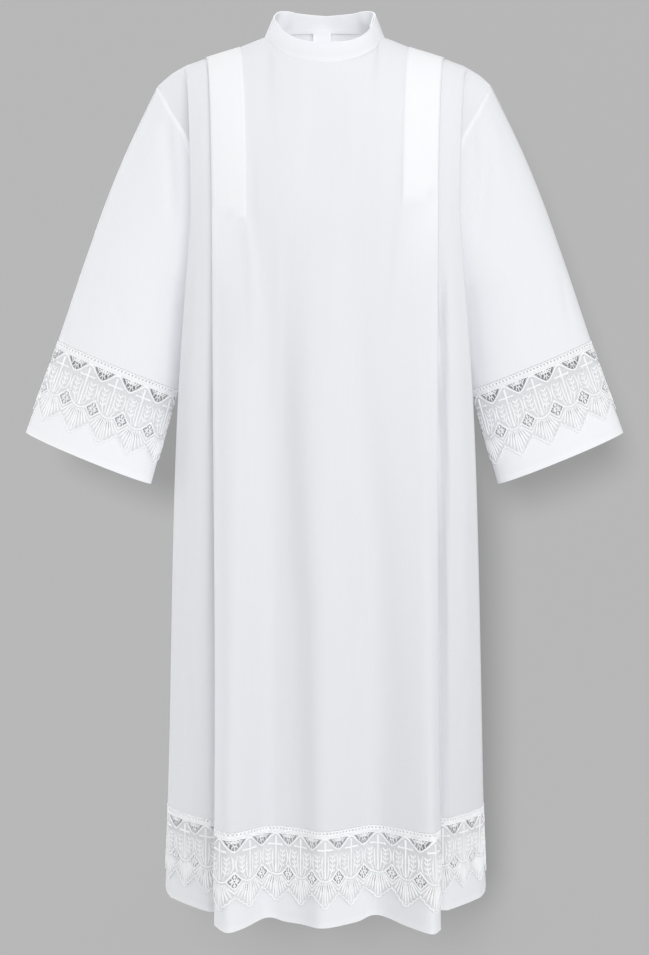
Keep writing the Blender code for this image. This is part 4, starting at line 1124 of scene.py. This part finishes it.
def ground_mesh():
    """The net and the solid parts of a repeat as one sheet with its gaps open."""
    right = fan_outline(3)
    outline = [(0, 0.4), (REPEAT, 0.4)] + [(REPEAT - u, v) for u, v in right]
    outline += [tuple(p) for p in right[::-1][1:]]
    bm = bmesh.new()
    edges = []
    for ring in [outline] + hole_rings():
        verts = [bm.verts.new((u * MM, -v * MM, 0)) for u, v in ring]
        edges += [bm.edges.new((a, b)) for a, b in zip(verts, verts[1:] + verts[:1])]
    bmesh.ops.triangle_fill(bm, use_beauty=True, edges=edges)
    for axis, reach in ((0, LACE_PITCH), (1, -0.122)):
        count = int(abs(reach) / FIELD)
        for k in range(1, count):
            place = [0.0, 0.0, 0.0]
            place[axis] = reach * k / count
            normal = [0.0, 0.0, 0.0]
            normal[axis] = 1.0
            bmesh.ops.bisect_plane(bm, geom=bm.verts[:] + bm.edges[:] + bm.faces[:], dist=1e-7,
                                   plane_co=place, plane_no=normal)
    bmesh.ops.recalc_face_normals(bm, faces=bm.faces)
    bm.faces.ensure_lookup_table()
    if bm.faces[0].normal.z < 0:
        bmesh.ops.reverse_faces(bm, faces=bm.faces)
    mesh = bpy.data.meshes.new("ground repeat")
    bm.to_mesh(mesh)
    bm.free()
    return mesh


thick_mesh = cord_mesh("thick cords", thick_cords, THICK_SIDES)
thin_mesh = cord_mesh("thin cords", thin_cords, THIN_SIDES)
ground = ground_mesh()
for mesh in (thick_mesh, thin_mesh, ground):
    mesh.calc_loop_triangles()
    print(mesh.name, len(mesh.loop_triangles), "triangles")

# %% [markdown]
# ## Wrapping the lace round hem and cuffs
#
# The flat repeats are laid side by side along a strip, cut off at its two ends, and every point
# is then moved onto the strip. A short table says where on the front of the hem the medallions
# lie, because the folds take up some of the lace; elsewhere they follow at their own pitch.

# %% Lace strips
HEM_MEDALLIONS = {       # along the front: the run of cloth, x, and the number of the medallion
    "side_4": ((-0.2246, -7), (-0.1890, -6), (0.2238, 8), (0.2520, 9)),
    "middle": ((-0.1632, -4), (-0.1158, -3), (-0.0763, -2), (-0.0374, -1), (0.0009, 0), (0.0412, 1),
               (0.0837, 2), (0.1258, 3), (0.1723, 4)),
}
CUFF_FIRST = 0.038
GROUND_WALL = 0.00045


def hem_places(strip):
    """Distances along the front of the hem at which the medallions lie."""
    row = strip.points.shape[1] // 2
    x = strip.points[:, row, 0]
    knots = []
    for run, table in HEM_MEDALLIONS.items():
        for place, number in table:
            here = (front_run == run) & (np.sign(x) == np.sign(place) if run != "middle" else True)
            knots.append((float(np.interp(place, x[here], strip.along[here])), number))
    return sorted(knots)


def stretched(knots, pattern):
    """Distances along a strip for distances in the flat pattern, a repeat being one pitch."""
    s, number = np.array(knots).T
    number = number * LACE_PITCH
    inside = np.interp(pattern, number, s)
    inside = np.where(pattern < number[0], s[0] + pattern - number[0], inside)
    return np.where(pattern > number[-1], s[-1] + pattern - number[-1], inside)


def trimmed(mesh, places, length, filled):
    """A copy of a flat mesh with its points at these places along, cut off at a strip's ends."""
    bm = bmesh.new()
    bm.from_mesh(mesh)
    for v, place in zip(bm.verts, places):
        v.co.x = place
    for end, side in ((0.0, -1.0), (length, 1.0)):
        if (side * (places - end)).max() > 0:
            bmesh.ops.bisect_plane(bm, geom=bm.verts[:] + bm.edges[:] + bm.faces[:], dist=1e-7,
                                   plane_co=(end, 0, 0), plane_no=(side, 0, 0), clear_outer=True)
            if filled:
                bmesh.ops.holes_fill(bm, edges=[edge for edge in bm.edges if edge.is_boundary], sides=12)
    copy = bpy.data.meshes.new("copy")
    bm.to_mesh(copy)
    bm.free()
    return copy


def wrapped(name, strip, knots, meshes, lift, flatness, with_map=False):
    """Copies of flat meshes along a strip, trimmed to it and moved onto it."""
    bm = bmesh.new()
    numbers = np.arange(-40, 41)
    starts = stretched(knots, numbers * LACE_PITCH)
    wanted = numbers[(starts > -1.5 * LACE_PITCH) & (starts < strip.length + 1.5 * LACE_PITCH)]
    for mesh in meshes:
        across = np.array([v.co.x for v in mesh.vertices])
        for number in wanted:
            places = stretched(knots, across + number * LACE_PITCH)
            if places.max() > 0 and places.min() < strip.length:
                copy = trimmed(mesh, places, strip.length, not with_map)
                bm.from_mesh(copy)
                bpy.data.meshes.remove(copy)
    if with_map:
        bmesh.ops.remove_doubles(bm, verts=bm.verts, dist=2e-5)
    flat = np.array([v.co[:] for v in bm.verts])
    if with_map:
        uv = bm.loops.layers.uv.new("cloth")
        for face in bm.faces:
            for loop in face.loops:
                loop[uv].uv = loop.vert.co.xy
    placed = strip.place(flat[:, 0], -flat[:, 1], flat[:, 2] * flatness + lift)
    for v, place in zip(bm.verts, placed):
        v.co = place
    i, j = strip.points.shape[0] // 2, strip.points.shape[1] // 2
    across = strip.points[i + 1, j] - strip.points[i, j]
    up = strip.points[i, j - 1] - strip.points[i, j]
    if np.cross(across, up).dot(strip.out[i, j]) < 0:
        bmesh.ops.reverse_faces(bm, faces=bm.faces)
    piece = new_piece(bm, name)
    piece.data.shade_smooth()
    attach(piece, "root")
    return piece


lace_grounds, lace_cords = {}, {}
for word, strip in strips.items():
    if word == "hem_front":
        knots = hem_places(strip)
    elif word == "hem_back":
        knots = [(strip.length / 2, 0), (strip.length / 2 + LACE_PITCH, 1)]
    else:
        knots = [(CUFF_FIRST, 0), (CUFF_FIRST + LACE_PITCH, 1)]
    node = word.replace("_", "_lace_", 1)
    ground_piece = wrapped("alb_%s_ground" % node, strip, knots, [ground], 0.0, 1.0, True)
    wall = ground_piece.modifiers.new("wall", "SOLIDIFY")
    wall.thickness, wall.offset = GROUND_WALL, -1.0
    cords = wrapped("alb_%s_cords" % node, strip, knots, [thick_mesh, thin_mesh], CORD_RISE, CORD_FLATNESS)
    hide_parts(node)
    lace_grounds[word], lace_cords[word] = ground_piece, cords
    print(node, "ground", len(ground_piece.data.polygons), "cords", len(cords.data.polygons), "faces")

# %% [markdown]
# ## Stitching
#
# The seams are machine sewn, and each stitch shows as a tiny raised dash: down the inner edge
# of both tucks, round the foot of the collar, beside the armholes and round the label. They
# could be a pattern in the cloth, but from close by a dash with a body catches the light as
# thread does. Each is a small ball drawn out along its line, and one seam is one piece.

# %% Stitch rows
STITCH_LONG, STITCH_GAP, STITCH_THICK = 0.0028, 0.0008, 0.00042


def stitch_row(bm, line, out):
    """Dashes of thread along a line of points, standing a little out of the cloth."""
    length = np.concatenate(([0.0], np.cumsum(np.linalg.norm(np.diff(line, axis=0), axis=1))))
    for start in np.arange(STITCH_LONG, length[-1] - STITCH_LONG, STITCH_LONG + STITCH_GAP):
        begin, end = ([np.interp(where, length, line[:, k]) for k in range(3)]
                      for where in (start, start + STITCH_LONG))
        begin, end = Vector(begin), Vector(end)
        up = Vector([np.interp(start, length, out[:, k]) for k in range(3)])
        along = (end - begin).normalized()
        side = up.cross(along).normalized()
        up = along.cross(side)
        shape = Matrix((along * STITCH_LONG / 2, side * STITCH_THICK / 2, up * STITCH_THICK / 2))
        place = Matrix.Translation((begin + end) / 2 + up * STITCH_THICK * 0.2)
        bmesh.ops.create_uvsphere(bm, u_segments=6, v_segments=4, radius=1.0,
                                  matrix=place @ shape.transposed().to_4x4())


def stitched(name, rows):
    """One piece with the dashes of every row (line, direction out of the cloth)."""
    bm = bmesh.new()
    for line, out in rows:
        stitch_row(bm, np.asarray(line), np.asarray(out))
    for face in bm.faces:
        face.smooth = True
    piece = new_piece(bm, name)
    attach(piece, "root")
    print(name, len(piece.data.polygons), "faces")
    return piece


# %% Stitches on the tucks, the collar, the armholes and the label
stitches = {}
rows = []
for side in (-1, 1):
    place = front_place if side < 0 else len(FRONT_LINES) - 1 - front_place
    column = int(np.argmin(np.where(middle_columns, np.abs(place - 1.93), 99.0)))
    sewn = np.flatnonzero(front_z[column] > TUCK_END[side])[3:]
    rows.append((front_points[column, sewn], front_out[column, sewn]))
stitches["tucks"] = stitched("tuck_stitches", rows)

points, share = collar_points()
out = grid_normals(points)
out *= -np.sign(out[COLLAR_COLUMNS // 3, 1, 1])
stitches["collar"] = stitched("collar_stitches", [(points[:, 1], out[:, 1])])

for side, word in SIDES.items():
    points = sleeve_points(side)
    out = grid_normals(points)
    out *= -np.sign(out[SLEEVE_COLUMNS // 4, 20, 1])
    stitches["sleeve_" + word] = stitched("armhole_stitches_" + word, [(points[:, 2], out[:, 2])])

LABEL_HEM = 0.0012
west, east = LABEL_X[0] + LABEL_HEM, LABEL_X[1] - LABEL_HEM
low, high = LABEL_Z[0] + LABEL_HEM, LABEL_Z[1] - LABEL_HEM
corners = [(west, low), (east, low), (east, high), (west, high)]
line = [(x, LABEL_Y - 0.0003, z) for x, z in corners + corners[:1]]
stitches["label"] = stitched("label_stitches", [(line, [(0, -1, 0)] * len(line))])

# %% [markdown]
# ## The cut of each cloth
#
# Each cloth sheet prints its area and a width as it is built. The front is wider than it shows, because the
# tucks and the side folds take in cloth twice. Areas are those of the built cloth. Two widths are too
# large: a sleeve's is the run of its slanting armhole edge, while its cut is only 0.49 to 0.53 m wide, and
# the front's is its run at the hem, while its own cloth ends 0.99 m wide.

# %% [markdown]
# ## Shader groups: the weave, and a mesh of net
#
# Plain cloth is warp and weft, one thread over and one under, and the lace's ground is a fine
# slanting net. Both are far too small for a mesh and could be pictures, but a few sine waves
# give them at any size with no file to carry. Each is a node group with named inputs, built
# once. They read the flat map in metres, so threads follow the cloth round its folds.

# %% Node helpers
def new_group(name, inputs, outputs):
    """A shader node group with named sockets, and its two end nodes."""
    tree = bpy.data.node_groups.new(name, "ShaderNodeTree")
    for label, kind, value in inputs:
        socket = tree.interface.new_socket(name=label, in_out="INPUT", socket_type=kind)
        if value is not None:
            socket.default_value = value
    for label, kind in outputs:
        tree.interface.new_socket(name=label, in_out="OUTPUT", socket_type=kind)
    return tree, tree.nodes.new("NodeGroupInput"), tree.nodes.new("NodeGroupOutput")


def math_node(tree, operation, a, b=None, clamp=False):
    """A Math node whose inputs are sockets or numbers; gives back its output."""
    node = tree.nodes.new("ShaderNodeMath")
    node.operation, node.use_clamp = operation, clamp
    for socket, value in zip(node.inputs, (a, b)):
        if isinstance(value, bpy.types.NodeSocket):
            tree.links.new(value, socket)
        elif value is not None:
            socket.default_value = value
    return node.outputs[0]


def scaled_noise(tree, vector, scale, size, detail=2.0):
    """Noise on a vector stretched by `scale`; gives back its factor."""
    mapping = tree.nodes.new("ShaderNodeMapping")
    mapping.inputs["Scale"].default_value = scale
    noise = tree.nodes.new("ShaderNodeTexNoise")
    noise.inputs["Scale"].default_value = size
    noise.inputs["Detail"].default_value = detail
    tree.links.new(vector, mapping.inputs["Vector"])
    tree.links.new(mapping.outputs["Vector"], noise.inputs["Vector"])
    return noise.outputs["Fac"]


# %% The weave
THREADS = 1250.0                # threads a metre


def weave_group():
    """Height of a plain weave, and a faint unevenness of its threads."""
    tree, given, result = new_group(
        "plain weave", (("Vector", "NodeSocketVector", None), ("Threads", "NodeSocketFloat", THREADS)),
        (("Height", "NodeSocketFloat"), ("Slub", "NodeSocketFloat")))
    parts = tree.nodes.new("ShaderNodeSeparateXYZ")
    tree.links.new(given.outputs["Vector"], parts.inputs[0])
    waves = []
    for axis in ("X", "Y"):
        count = math_node(tree, "MULTIPLY", parts.outputs[axis], given.outputs["Threads"])
        turn = math_node(tree, "MULTIPLY", count, math.pi)
        waves.append(math_node(tree, "SINE", turn))
    woven = math_node(tree, "MULTIPLY", waves[0], waves[1])
    warp = scaled_noise(tree, given.outputs["Vector"], (520, 9, 1), 1.0)
    weft = scaled_noise(tree, given.outputs["Vector"], (11, 430, 1), 1.0)
    slub = math_node(tree, "ADD", math_node(tree, "MULTIPLY", warp, 0.6),
                     math_node(tree, "MULTIPLY", weft, 0.4))
    height = math_node(tree, "ADD", math_node(tree, "MULTIPLY", woven, 0.5), slub)
    tree.links.new(height, result.inputs["Height"])
    tree.links.new(slub, result.inputs["Slub"])
    return tree


weave = weave_group()

# %% [markdown]
# ## The finish of the plain cloth
#
# White cotton scatters light and has almost no gloss, only a faint sheen at its edges. Where two layers lie
# together less light goes through, so tucks, seams and the turns of hem and cuffs look whiter. A mask kept
# on the points mixes two whites for that. The same mask also carries painted light: it draws the whole
# sleeves, the plain hem band and the cuff bands whiter, to brighten them. It is set by place.

# %% Bump and plain material helpers
def raised(tree, shader, height, strength, distance):
    """Let a height tilt the light on a surface."""
    bump = tree.nodes.new("ShaderNodeBump")
    bump.inputs["Strength"].default_value = strength
    bump.inputs["Distance"].default_value = distance
    tree.links.new(height, bump.inputs["Height"])
    tree.links.new(bump.outputs["Normal"], shader.inputs["Normal"])


def plain_finish(name, roughness, specular):
    """A new material, its nodes and its shader."""
    finish = bpy.data.materials.new(name)
    finish.use_nodes = True
    shader = finish.node_tree.nodes["Principled BSDF"]
    shader.inputs["Roughness"].default_value = roughness
    shader.inputs["Specular IOR Level"].default_value = specular
    return finish, finish.node_tree, shader


def cloth_map(tree, group):
    """The flat map of a cloth, and a group of threads that reads it."""
    flat = tree.nodes.new("ShaderNodeUVMap")
    flat.uv_map = "cloth"
    threads = tree.nodes.new("ShaderNodeGroup")
    threads.node_tree = group
    tree.links.new(flat.outputs["UV"], threads.inputs["Vector"])
    return flat, threads


# %% Material of the cloth
CLOTH_COLOUR = (0.815, 0.825, 0.855)
# the whiter of the two colours stands for a second layer of cloth, and on the sleeves, hem band and cuff
# bands also for painted light that brightens them
DOUBLED_AND_PAINTED_LIGHT_COLOUR = (0.900, 0.905, 0.930)
SHADE_OF_SLUB = 0.05


def cloth_material():
    """White plain-woven cloth, whiter where two layers lie together, and painted whiter on the sleeves, the
    hem band and the cuff bands to brighten them.
    """
    finish, tree, shader = plain_finish("white plain weave", 0.86, 0.25)
    shader.inputs["Sheen Weight"].default_value = 0.10
    shader.inputs["Sheen Roughness"].default_value = 0.45
    _, threads = cloth_map(tree, weave)
    # the mask mixes in the whiter colour: a second layer on tucks, seams and turns, painted light on the
    # sleeves, the plain hem band and the cuff bands
    mask = tree.nodes.new("ShaderNodeAttribute")
    mask.attribute_name = "doubled_and_painted_light"
    layers = tree.nodes.new("ShaderNodeMix")
    layers.data_type = "RGBA"
    tree.links.new(mask.outputs["Fac"], layers.inputs["Factor"])
    layers.inputs["A"].default_value = (*CLOTH_COLOUR, 1)
    layers.inputs["B"].default_value = (*DOUBLED_AND_PAINTED_LIGHT_COLOUR, 1)
    slub = math_node(tree, "MULTIPLY", threads.outputs["Slub"], SHADE_OF_SLUB)
    shade = math_node(tree, "ADD", slub, 1 - SHADE_OF_SLUB / 2)
    tone = tree.nodes.new("ShaderNodeVectorMath")
    tone.operation = "SCALE"
    tree.links.new(layers.outputs["Result"], tone.inputs[0])
    tree.links.new(shade, tone.inputs["Scale"])
    tree.links.new(tone.outputs[0], shader.inputs["Base Color"])
    raised(tree, shader, threads.outputs["Height"], 0.25, 0.0003)
    return finish


plain_cloth = cloth_material()
for piece in (*panels.values(), collar, label):
    piece.data.materials.append(plain_cloth)
print("pieces of plain cloth:", len(panels) + 2)

# %% [markdown]
# ## The finishes of the lace
#
# The ground is net between braid and fans and dense stitching elsewhere, so its holes are cut
# by a mask into Alpha only there. The cords are satin stitch: whiter and a little smoother than
# the cloth, with the fine grain of laid thread.

# %% The net
NET_HOLES, NET_THREAD = 360.0, 0.74       # holes a metre along X and Y, and the share of thread


def net_group():
    """A mask of fine net: 1 on its threads and where the work is dense, 0 in its holes."""
    tree, given, result = new_group(
        "fine net", (("Vector", "NodeSocketVector", None), ("Holes", "NodeSocketFloat", NET_HOLES),
                     ("Thread", "NodeSocketFloat", NET_THREAD)),
        (("Mask", "NodeSocketFloat"), ("Height", "NodeSocketFloat")))
    parts = tree.nodes.new("ShaderNodeSeparateXYZ")
    tree.links.new(given.outputs["Vector"], parts.inputs[0])
    waves = []
    for operation in ("ADD", "SUBTRACT"):
        along = math_node(tree, operation, parts.outputs["X"], parts.outputs["Y"])
        count = math_node(tree, "MULTIPLY", along, given.outputs["Holes"])
        turn = math_node(tree, "MULTIPLY", count, math.pi)
        waves.append(math_node(tree, "ABSOLUTE", math_node(tree, "SINE", turn)))
    lowest = math_node(tree, "MINIMUM", waves[0], waves[1])
    thread = math_node(tree, "LESS_THAN", lowest, given.outputs["Thread"])
    tree.links.new(thread, result.inputs["Mask"])
    tree.links.new(math_node(tree, "SUBTRACT", 1.0, lowest), result.inputs["Height"])
    return tree


net = net_group()

# %% Materials of the lace
GROUND_COLOUR = (0.82, 0.83, 0.85)
CORD_COLOUR = (0.975, 0.98, 1.0)
NET_TOP, NET_BOTTOM = 11.5, 112.0         # mm below the braid's top: the ground is net between


def ground_material():
    """Net between braid and fans, dense satin elsewhere."""
    finish, tree, shader = plain_finish("lace ground", 0.9, 0.2)
    shader.inputs["Base Color"].default_value = (*GROUND_COLOUR, 1)
    flat, mesh = cloth_map(tree, net)
    parts = tree.nodes.new("ShaderNodeSeparateXYZ")
    tree.links.new(flat.outputs["UV"], parts.inputs[0])
    depth = math_node(tree, "MULTIPLY", parts.outputs["Y"], -1000.0)
    below_braid = math_node(tree, "GREATER_THAN", depth, NET_TOP)
    above_fan = math_node(tree, "LESS_THAN", depth, NET_BOTTOM)
    netted = math_node(tree, "MULTIPLY", below_braid, above_fan)
    solid = math_node(tree, "SUBTRACT", 1.0, netted)
    alpha = math_node(tree, "MAXIMUM", solid, mesh.outputs["Mask"])
    tree.links.new(alpha, shader.inputs["Alpha"])
    raised(tree, shader, mesh.outputs["Height"], 0.35, 0.0003)
    return finish


def cord_material():
    """Satin-stitched cord, whiter than the cloth."""
    finish, tree, shader = plain_finish("satin cord", 0.6, 0.35)
    shader.inputs["Base Color"].default_value = (*CORD_COLOUR, 1)
    where = tree.nodes.new("ShaderNodeTexCoord")
    fibre = scaled_noise(tree, where.outputs["Object"], (1, 1, 1), 1400.0)
    raised(tree, shader, fibre, 0.5, 0.0002)
    return finish


net_finish, cord_finish = ground_material(), cord_material()
for piece in lace_grounds.values():
    piece.data.materials.append(net_finish)
for piece in (*lace_cords.values(), *stitches.values()):
    piece.data.materials.append(cord_finish)
print("pieces of lace and thread:", len(lace_grounds) + len(lace_cords) + len(stitches))

# %% [markdown]
# ## Studio: backdrop and floor
#
# White cloth shows its form only against something darker, so a grey paper hangs close behind,
# near enough to take the garment's shadow. It glows a little by itself, which keeps its grey
# even. Its face is seen only from the front, so that it doesn't hide the back of the garment.

# %% Backdrop and floor
WALL_Y, FLOOR_Z = 0.20, -1.62
WALL_GREY, WALL_GLOW = 0.05, 0.255
WORLD_LIGHT = 0.55


def stage_plane(name, corners):
    """A flat piece of the studio."""
    bm = bmesh.new()
    bmesh.ops.create_grid(bm, x_segments=1, y_segments=1, size=1.0)
    for v in bm.verts:
        a, b = (v.co.x + 1) / 2, (v.co.y + 1) / 2
        p = [Vector(c) for c in corners]
        v.co = (p[0] * (1 - a) + p[1] * a) * (1 - b) + (p[3] * (1 - a) + p[2] * a) * b
    obj = new_piece(bm, name)
    return obj


wall = stage_plane("backdrop", ((-6, WALL_Y, FLOOR_Z), (6, WALL_Y, FLOOR_Z),
                                (6, WALL_Y, 6), (-6, WALL_Y, 6)))
floor = stage_plane("floor", ((-6, -6, FLOOR_Z), (6, -6, FLOOR_Z), (6, 6, FLOOR_Z), (-6, 6, FLOOR_Z)))

paper = bpy.data.materials.new("grey backdrop paper")
paper.use_nodes = True
tree = paper.node_tree
tree.nodes.remove(tree.nodes["Principled BSDF"])
diffuse = tree.nodes.new("ShaderNodeBsdfDiffuse")
diffuse.inputs["Color"].default_value = (WALL_GREY, WALL_GREY, WALL_GREY, 1)
glow = tree.nodes.new("ShaderNodeEmission")
glow.inputs["Color"].default_value = (1, 1, 1, 1)
glow.inputs["Strength"].default_value = WALL_GLOW
lit = tree.nodes.new("ShaderNodeAddShader")
tree.links.new(diffuse.outputs[0], lit.inputs[0])
tree.links.new(glow.outputs[0], lit.inputs[1])
clear = tree.nodes.new("ShaderNodeBsdfTransparent")
path = tree.nodes.new("ShaderNodeLightPath")
face = tree.nodes.new("ShaderNodeNewGeometry")
facing = math_node(tree, "SUBTRACT", 1.0, face.outputs["Backfacing"])
seen = math_node(tree, "MULTIPLY", path.outputs["Is Camera Ray"], facing)
mix = tree.nodes.new("ShaderNodeMixShader")
tree.links.new(seen, mix.inputs[0])
tree.links.new(clear.outputs[0], mix.inputs[1])
tree.links.new(lit.outputs[0], mix.inputs[2])
tree.links.new(mix.outputs[0], tree.nodes["Material Output"].inputs["Surface"])
wall.data.materials.append(paper)

pale = bpy.data.materials.new("pale floor")
pale.use_nodes = True
pale.node_tree.nodes["Principled BSDF"].inputs["Base Color"].default_value = (0.80, 0.80, 0.80, 1)
pale.node_tree.nodes["Principled BSDF"].inputs["Roughness"].default_value = 0.9
floor.data.materials.append(pale)

world = bpy.data.worlds.new("studio")
world.use_nodes = True
world.node_tree.nodes["Background"].inputs["Color"].default_value = (1, 1, 1, 1)
world.node_tree.nodes["Background"].inputs["Strength"].default_value = WORLD_LIGHT
bpy.context.scene.world = world

# %% [markdown]
# ## Studio: lights
#
# A big soft light from the front left alone would flatten white cloth, so each part has lights of its own,
# by light linking: some reach only the body, the sleeves, the hem or the wall. The strengths were set by
# tone for the front view. Three soft fills cast no shadow.

# %% Distant lights
def sun(name, direction, strength, angle):
    """A soft distant lamp that shines along a direction."""
    lamp = bpy.data.lights.new(name, "SUN")
    lamp.energy, lamp.angle = strength, math.radians(angle)
    obj = bpy.data.objects.new(name, lamp)
    obj.rotation_euler = Vector(direction).to_track_quat("-Z", "Y").to_euler()
    bpy.context.collection.objects.link(obj)
    return obj


def only_on(lamp, name, objects):
    """Let a lamp light these objects alone."""
    group = bpy.data.collections.new(name)
    for obj in objects:
        group.objects.link(obj)
    lamp.light_linking.receiver_collection = group


all_but_wall = [obj for obj in bpy.data.objects if obj.type == "MESH" and obj is not wall]
arms = [obj for obj in all_but_wall if "sleeve" in obj.name or "cuff" in obj.name]
body = [obj for obj in all_but_wall if obj not in arms]         # and the floor
shown = [obj for obj in all_but_wall if "back" not in obj.name]
shown_body = [obj for obj in body if obj in shown]
shown_arms = [obj for obj in arms if obj in shown]
shown_hem = [obj for obj in shown if "hem" in obj.name]
LIGHTS = (                      # what it lights, direction, strength, angle, whether it casts shadows
    ("wall light", [wall], (0.195, 1.0, -0.28), 9.6, 19, True),
    ("low wall light", [wall], (0.195, 1.0, -0.55), 3.3, 19, True),
    ("front light", body, (-0.42, 1.0, -0.28), 0.36, 40, True),
    ("light from above", body, (0.0, 0.3, -1.0), 0.50, 60, True),
    ("soft front light", shown_body, (-0.42, 1.0, -0.28), 0.12, 60, False),
    ("light on the sleeves", arms, (-0.28, 1.0, -0.26), 0.86, 40, True),
    ("soft light on the sleeves", shown_arms, (-0.12, 1.0, -0.20), 0.60, 60, False),
    ("soft light on the hem", shown_hem, (-0.60, 1.0, -0.10), 0.42, 60, False),
    ("fill from the left", all_but_wall, (0.92, -0.40, -0.10), 1.25, 50, True))
for name, receivers, direction, strength, angle, casts in LIGHTS:
    lamp = sun(name, direction, strength, angle)
    lamp.data.use_shadow = casts
    only_on(lamp, "lit by the " + name, receivers)
    if name == "low wall light":
        lamp.light_linking.blocker_collection = bpy.data.collections.new("in the low wall light")
        for obj in body:
            lamp.light_linking.blocker_collection.objects.link(obj)
print("distant lights:", len(LIGHTS))

# %% Lights near the garment
def lamp_at(name, kind, energy, size, place, aim, receivers):
    """A lamp near the object, aimed at a point."""
    data = bpy.data.lights.new(name, kind)
    data.energy = energy
    if kind == "AREA":
        data.size = size
    else:
        data.shadow_soft_size = size
    lamp = bpy.data.objects.new(name, data)
    lamp.location = place
    lamp.rotation_euler = (Vector(aim) - Vector(place)).to_track_quat("-Z", "Y").to_euler()
    bpy.context.collection.objects.link(lamp)
    only_on(lamp, "lit by the " + name, receivers)


lamp_at("window", "AREA", 11.0, 1.2, (0.45, -1.90, 0.35), (0, 0, -0.25), body)
lamp_at("light into the neck", "POINT", 0.26, 0.02, (0, -0.035, 0.130), (0, 0, 0), [collar])
lamp_at("light through the cloth", "POINT", 0.38, 0.03, (0, -0.03, -0.10), (0, 0, 0),
        [label, panels["back"]])
bpy.context.scene.view_settings.view_transform = "Standard"
print("lights near the garment: 3")
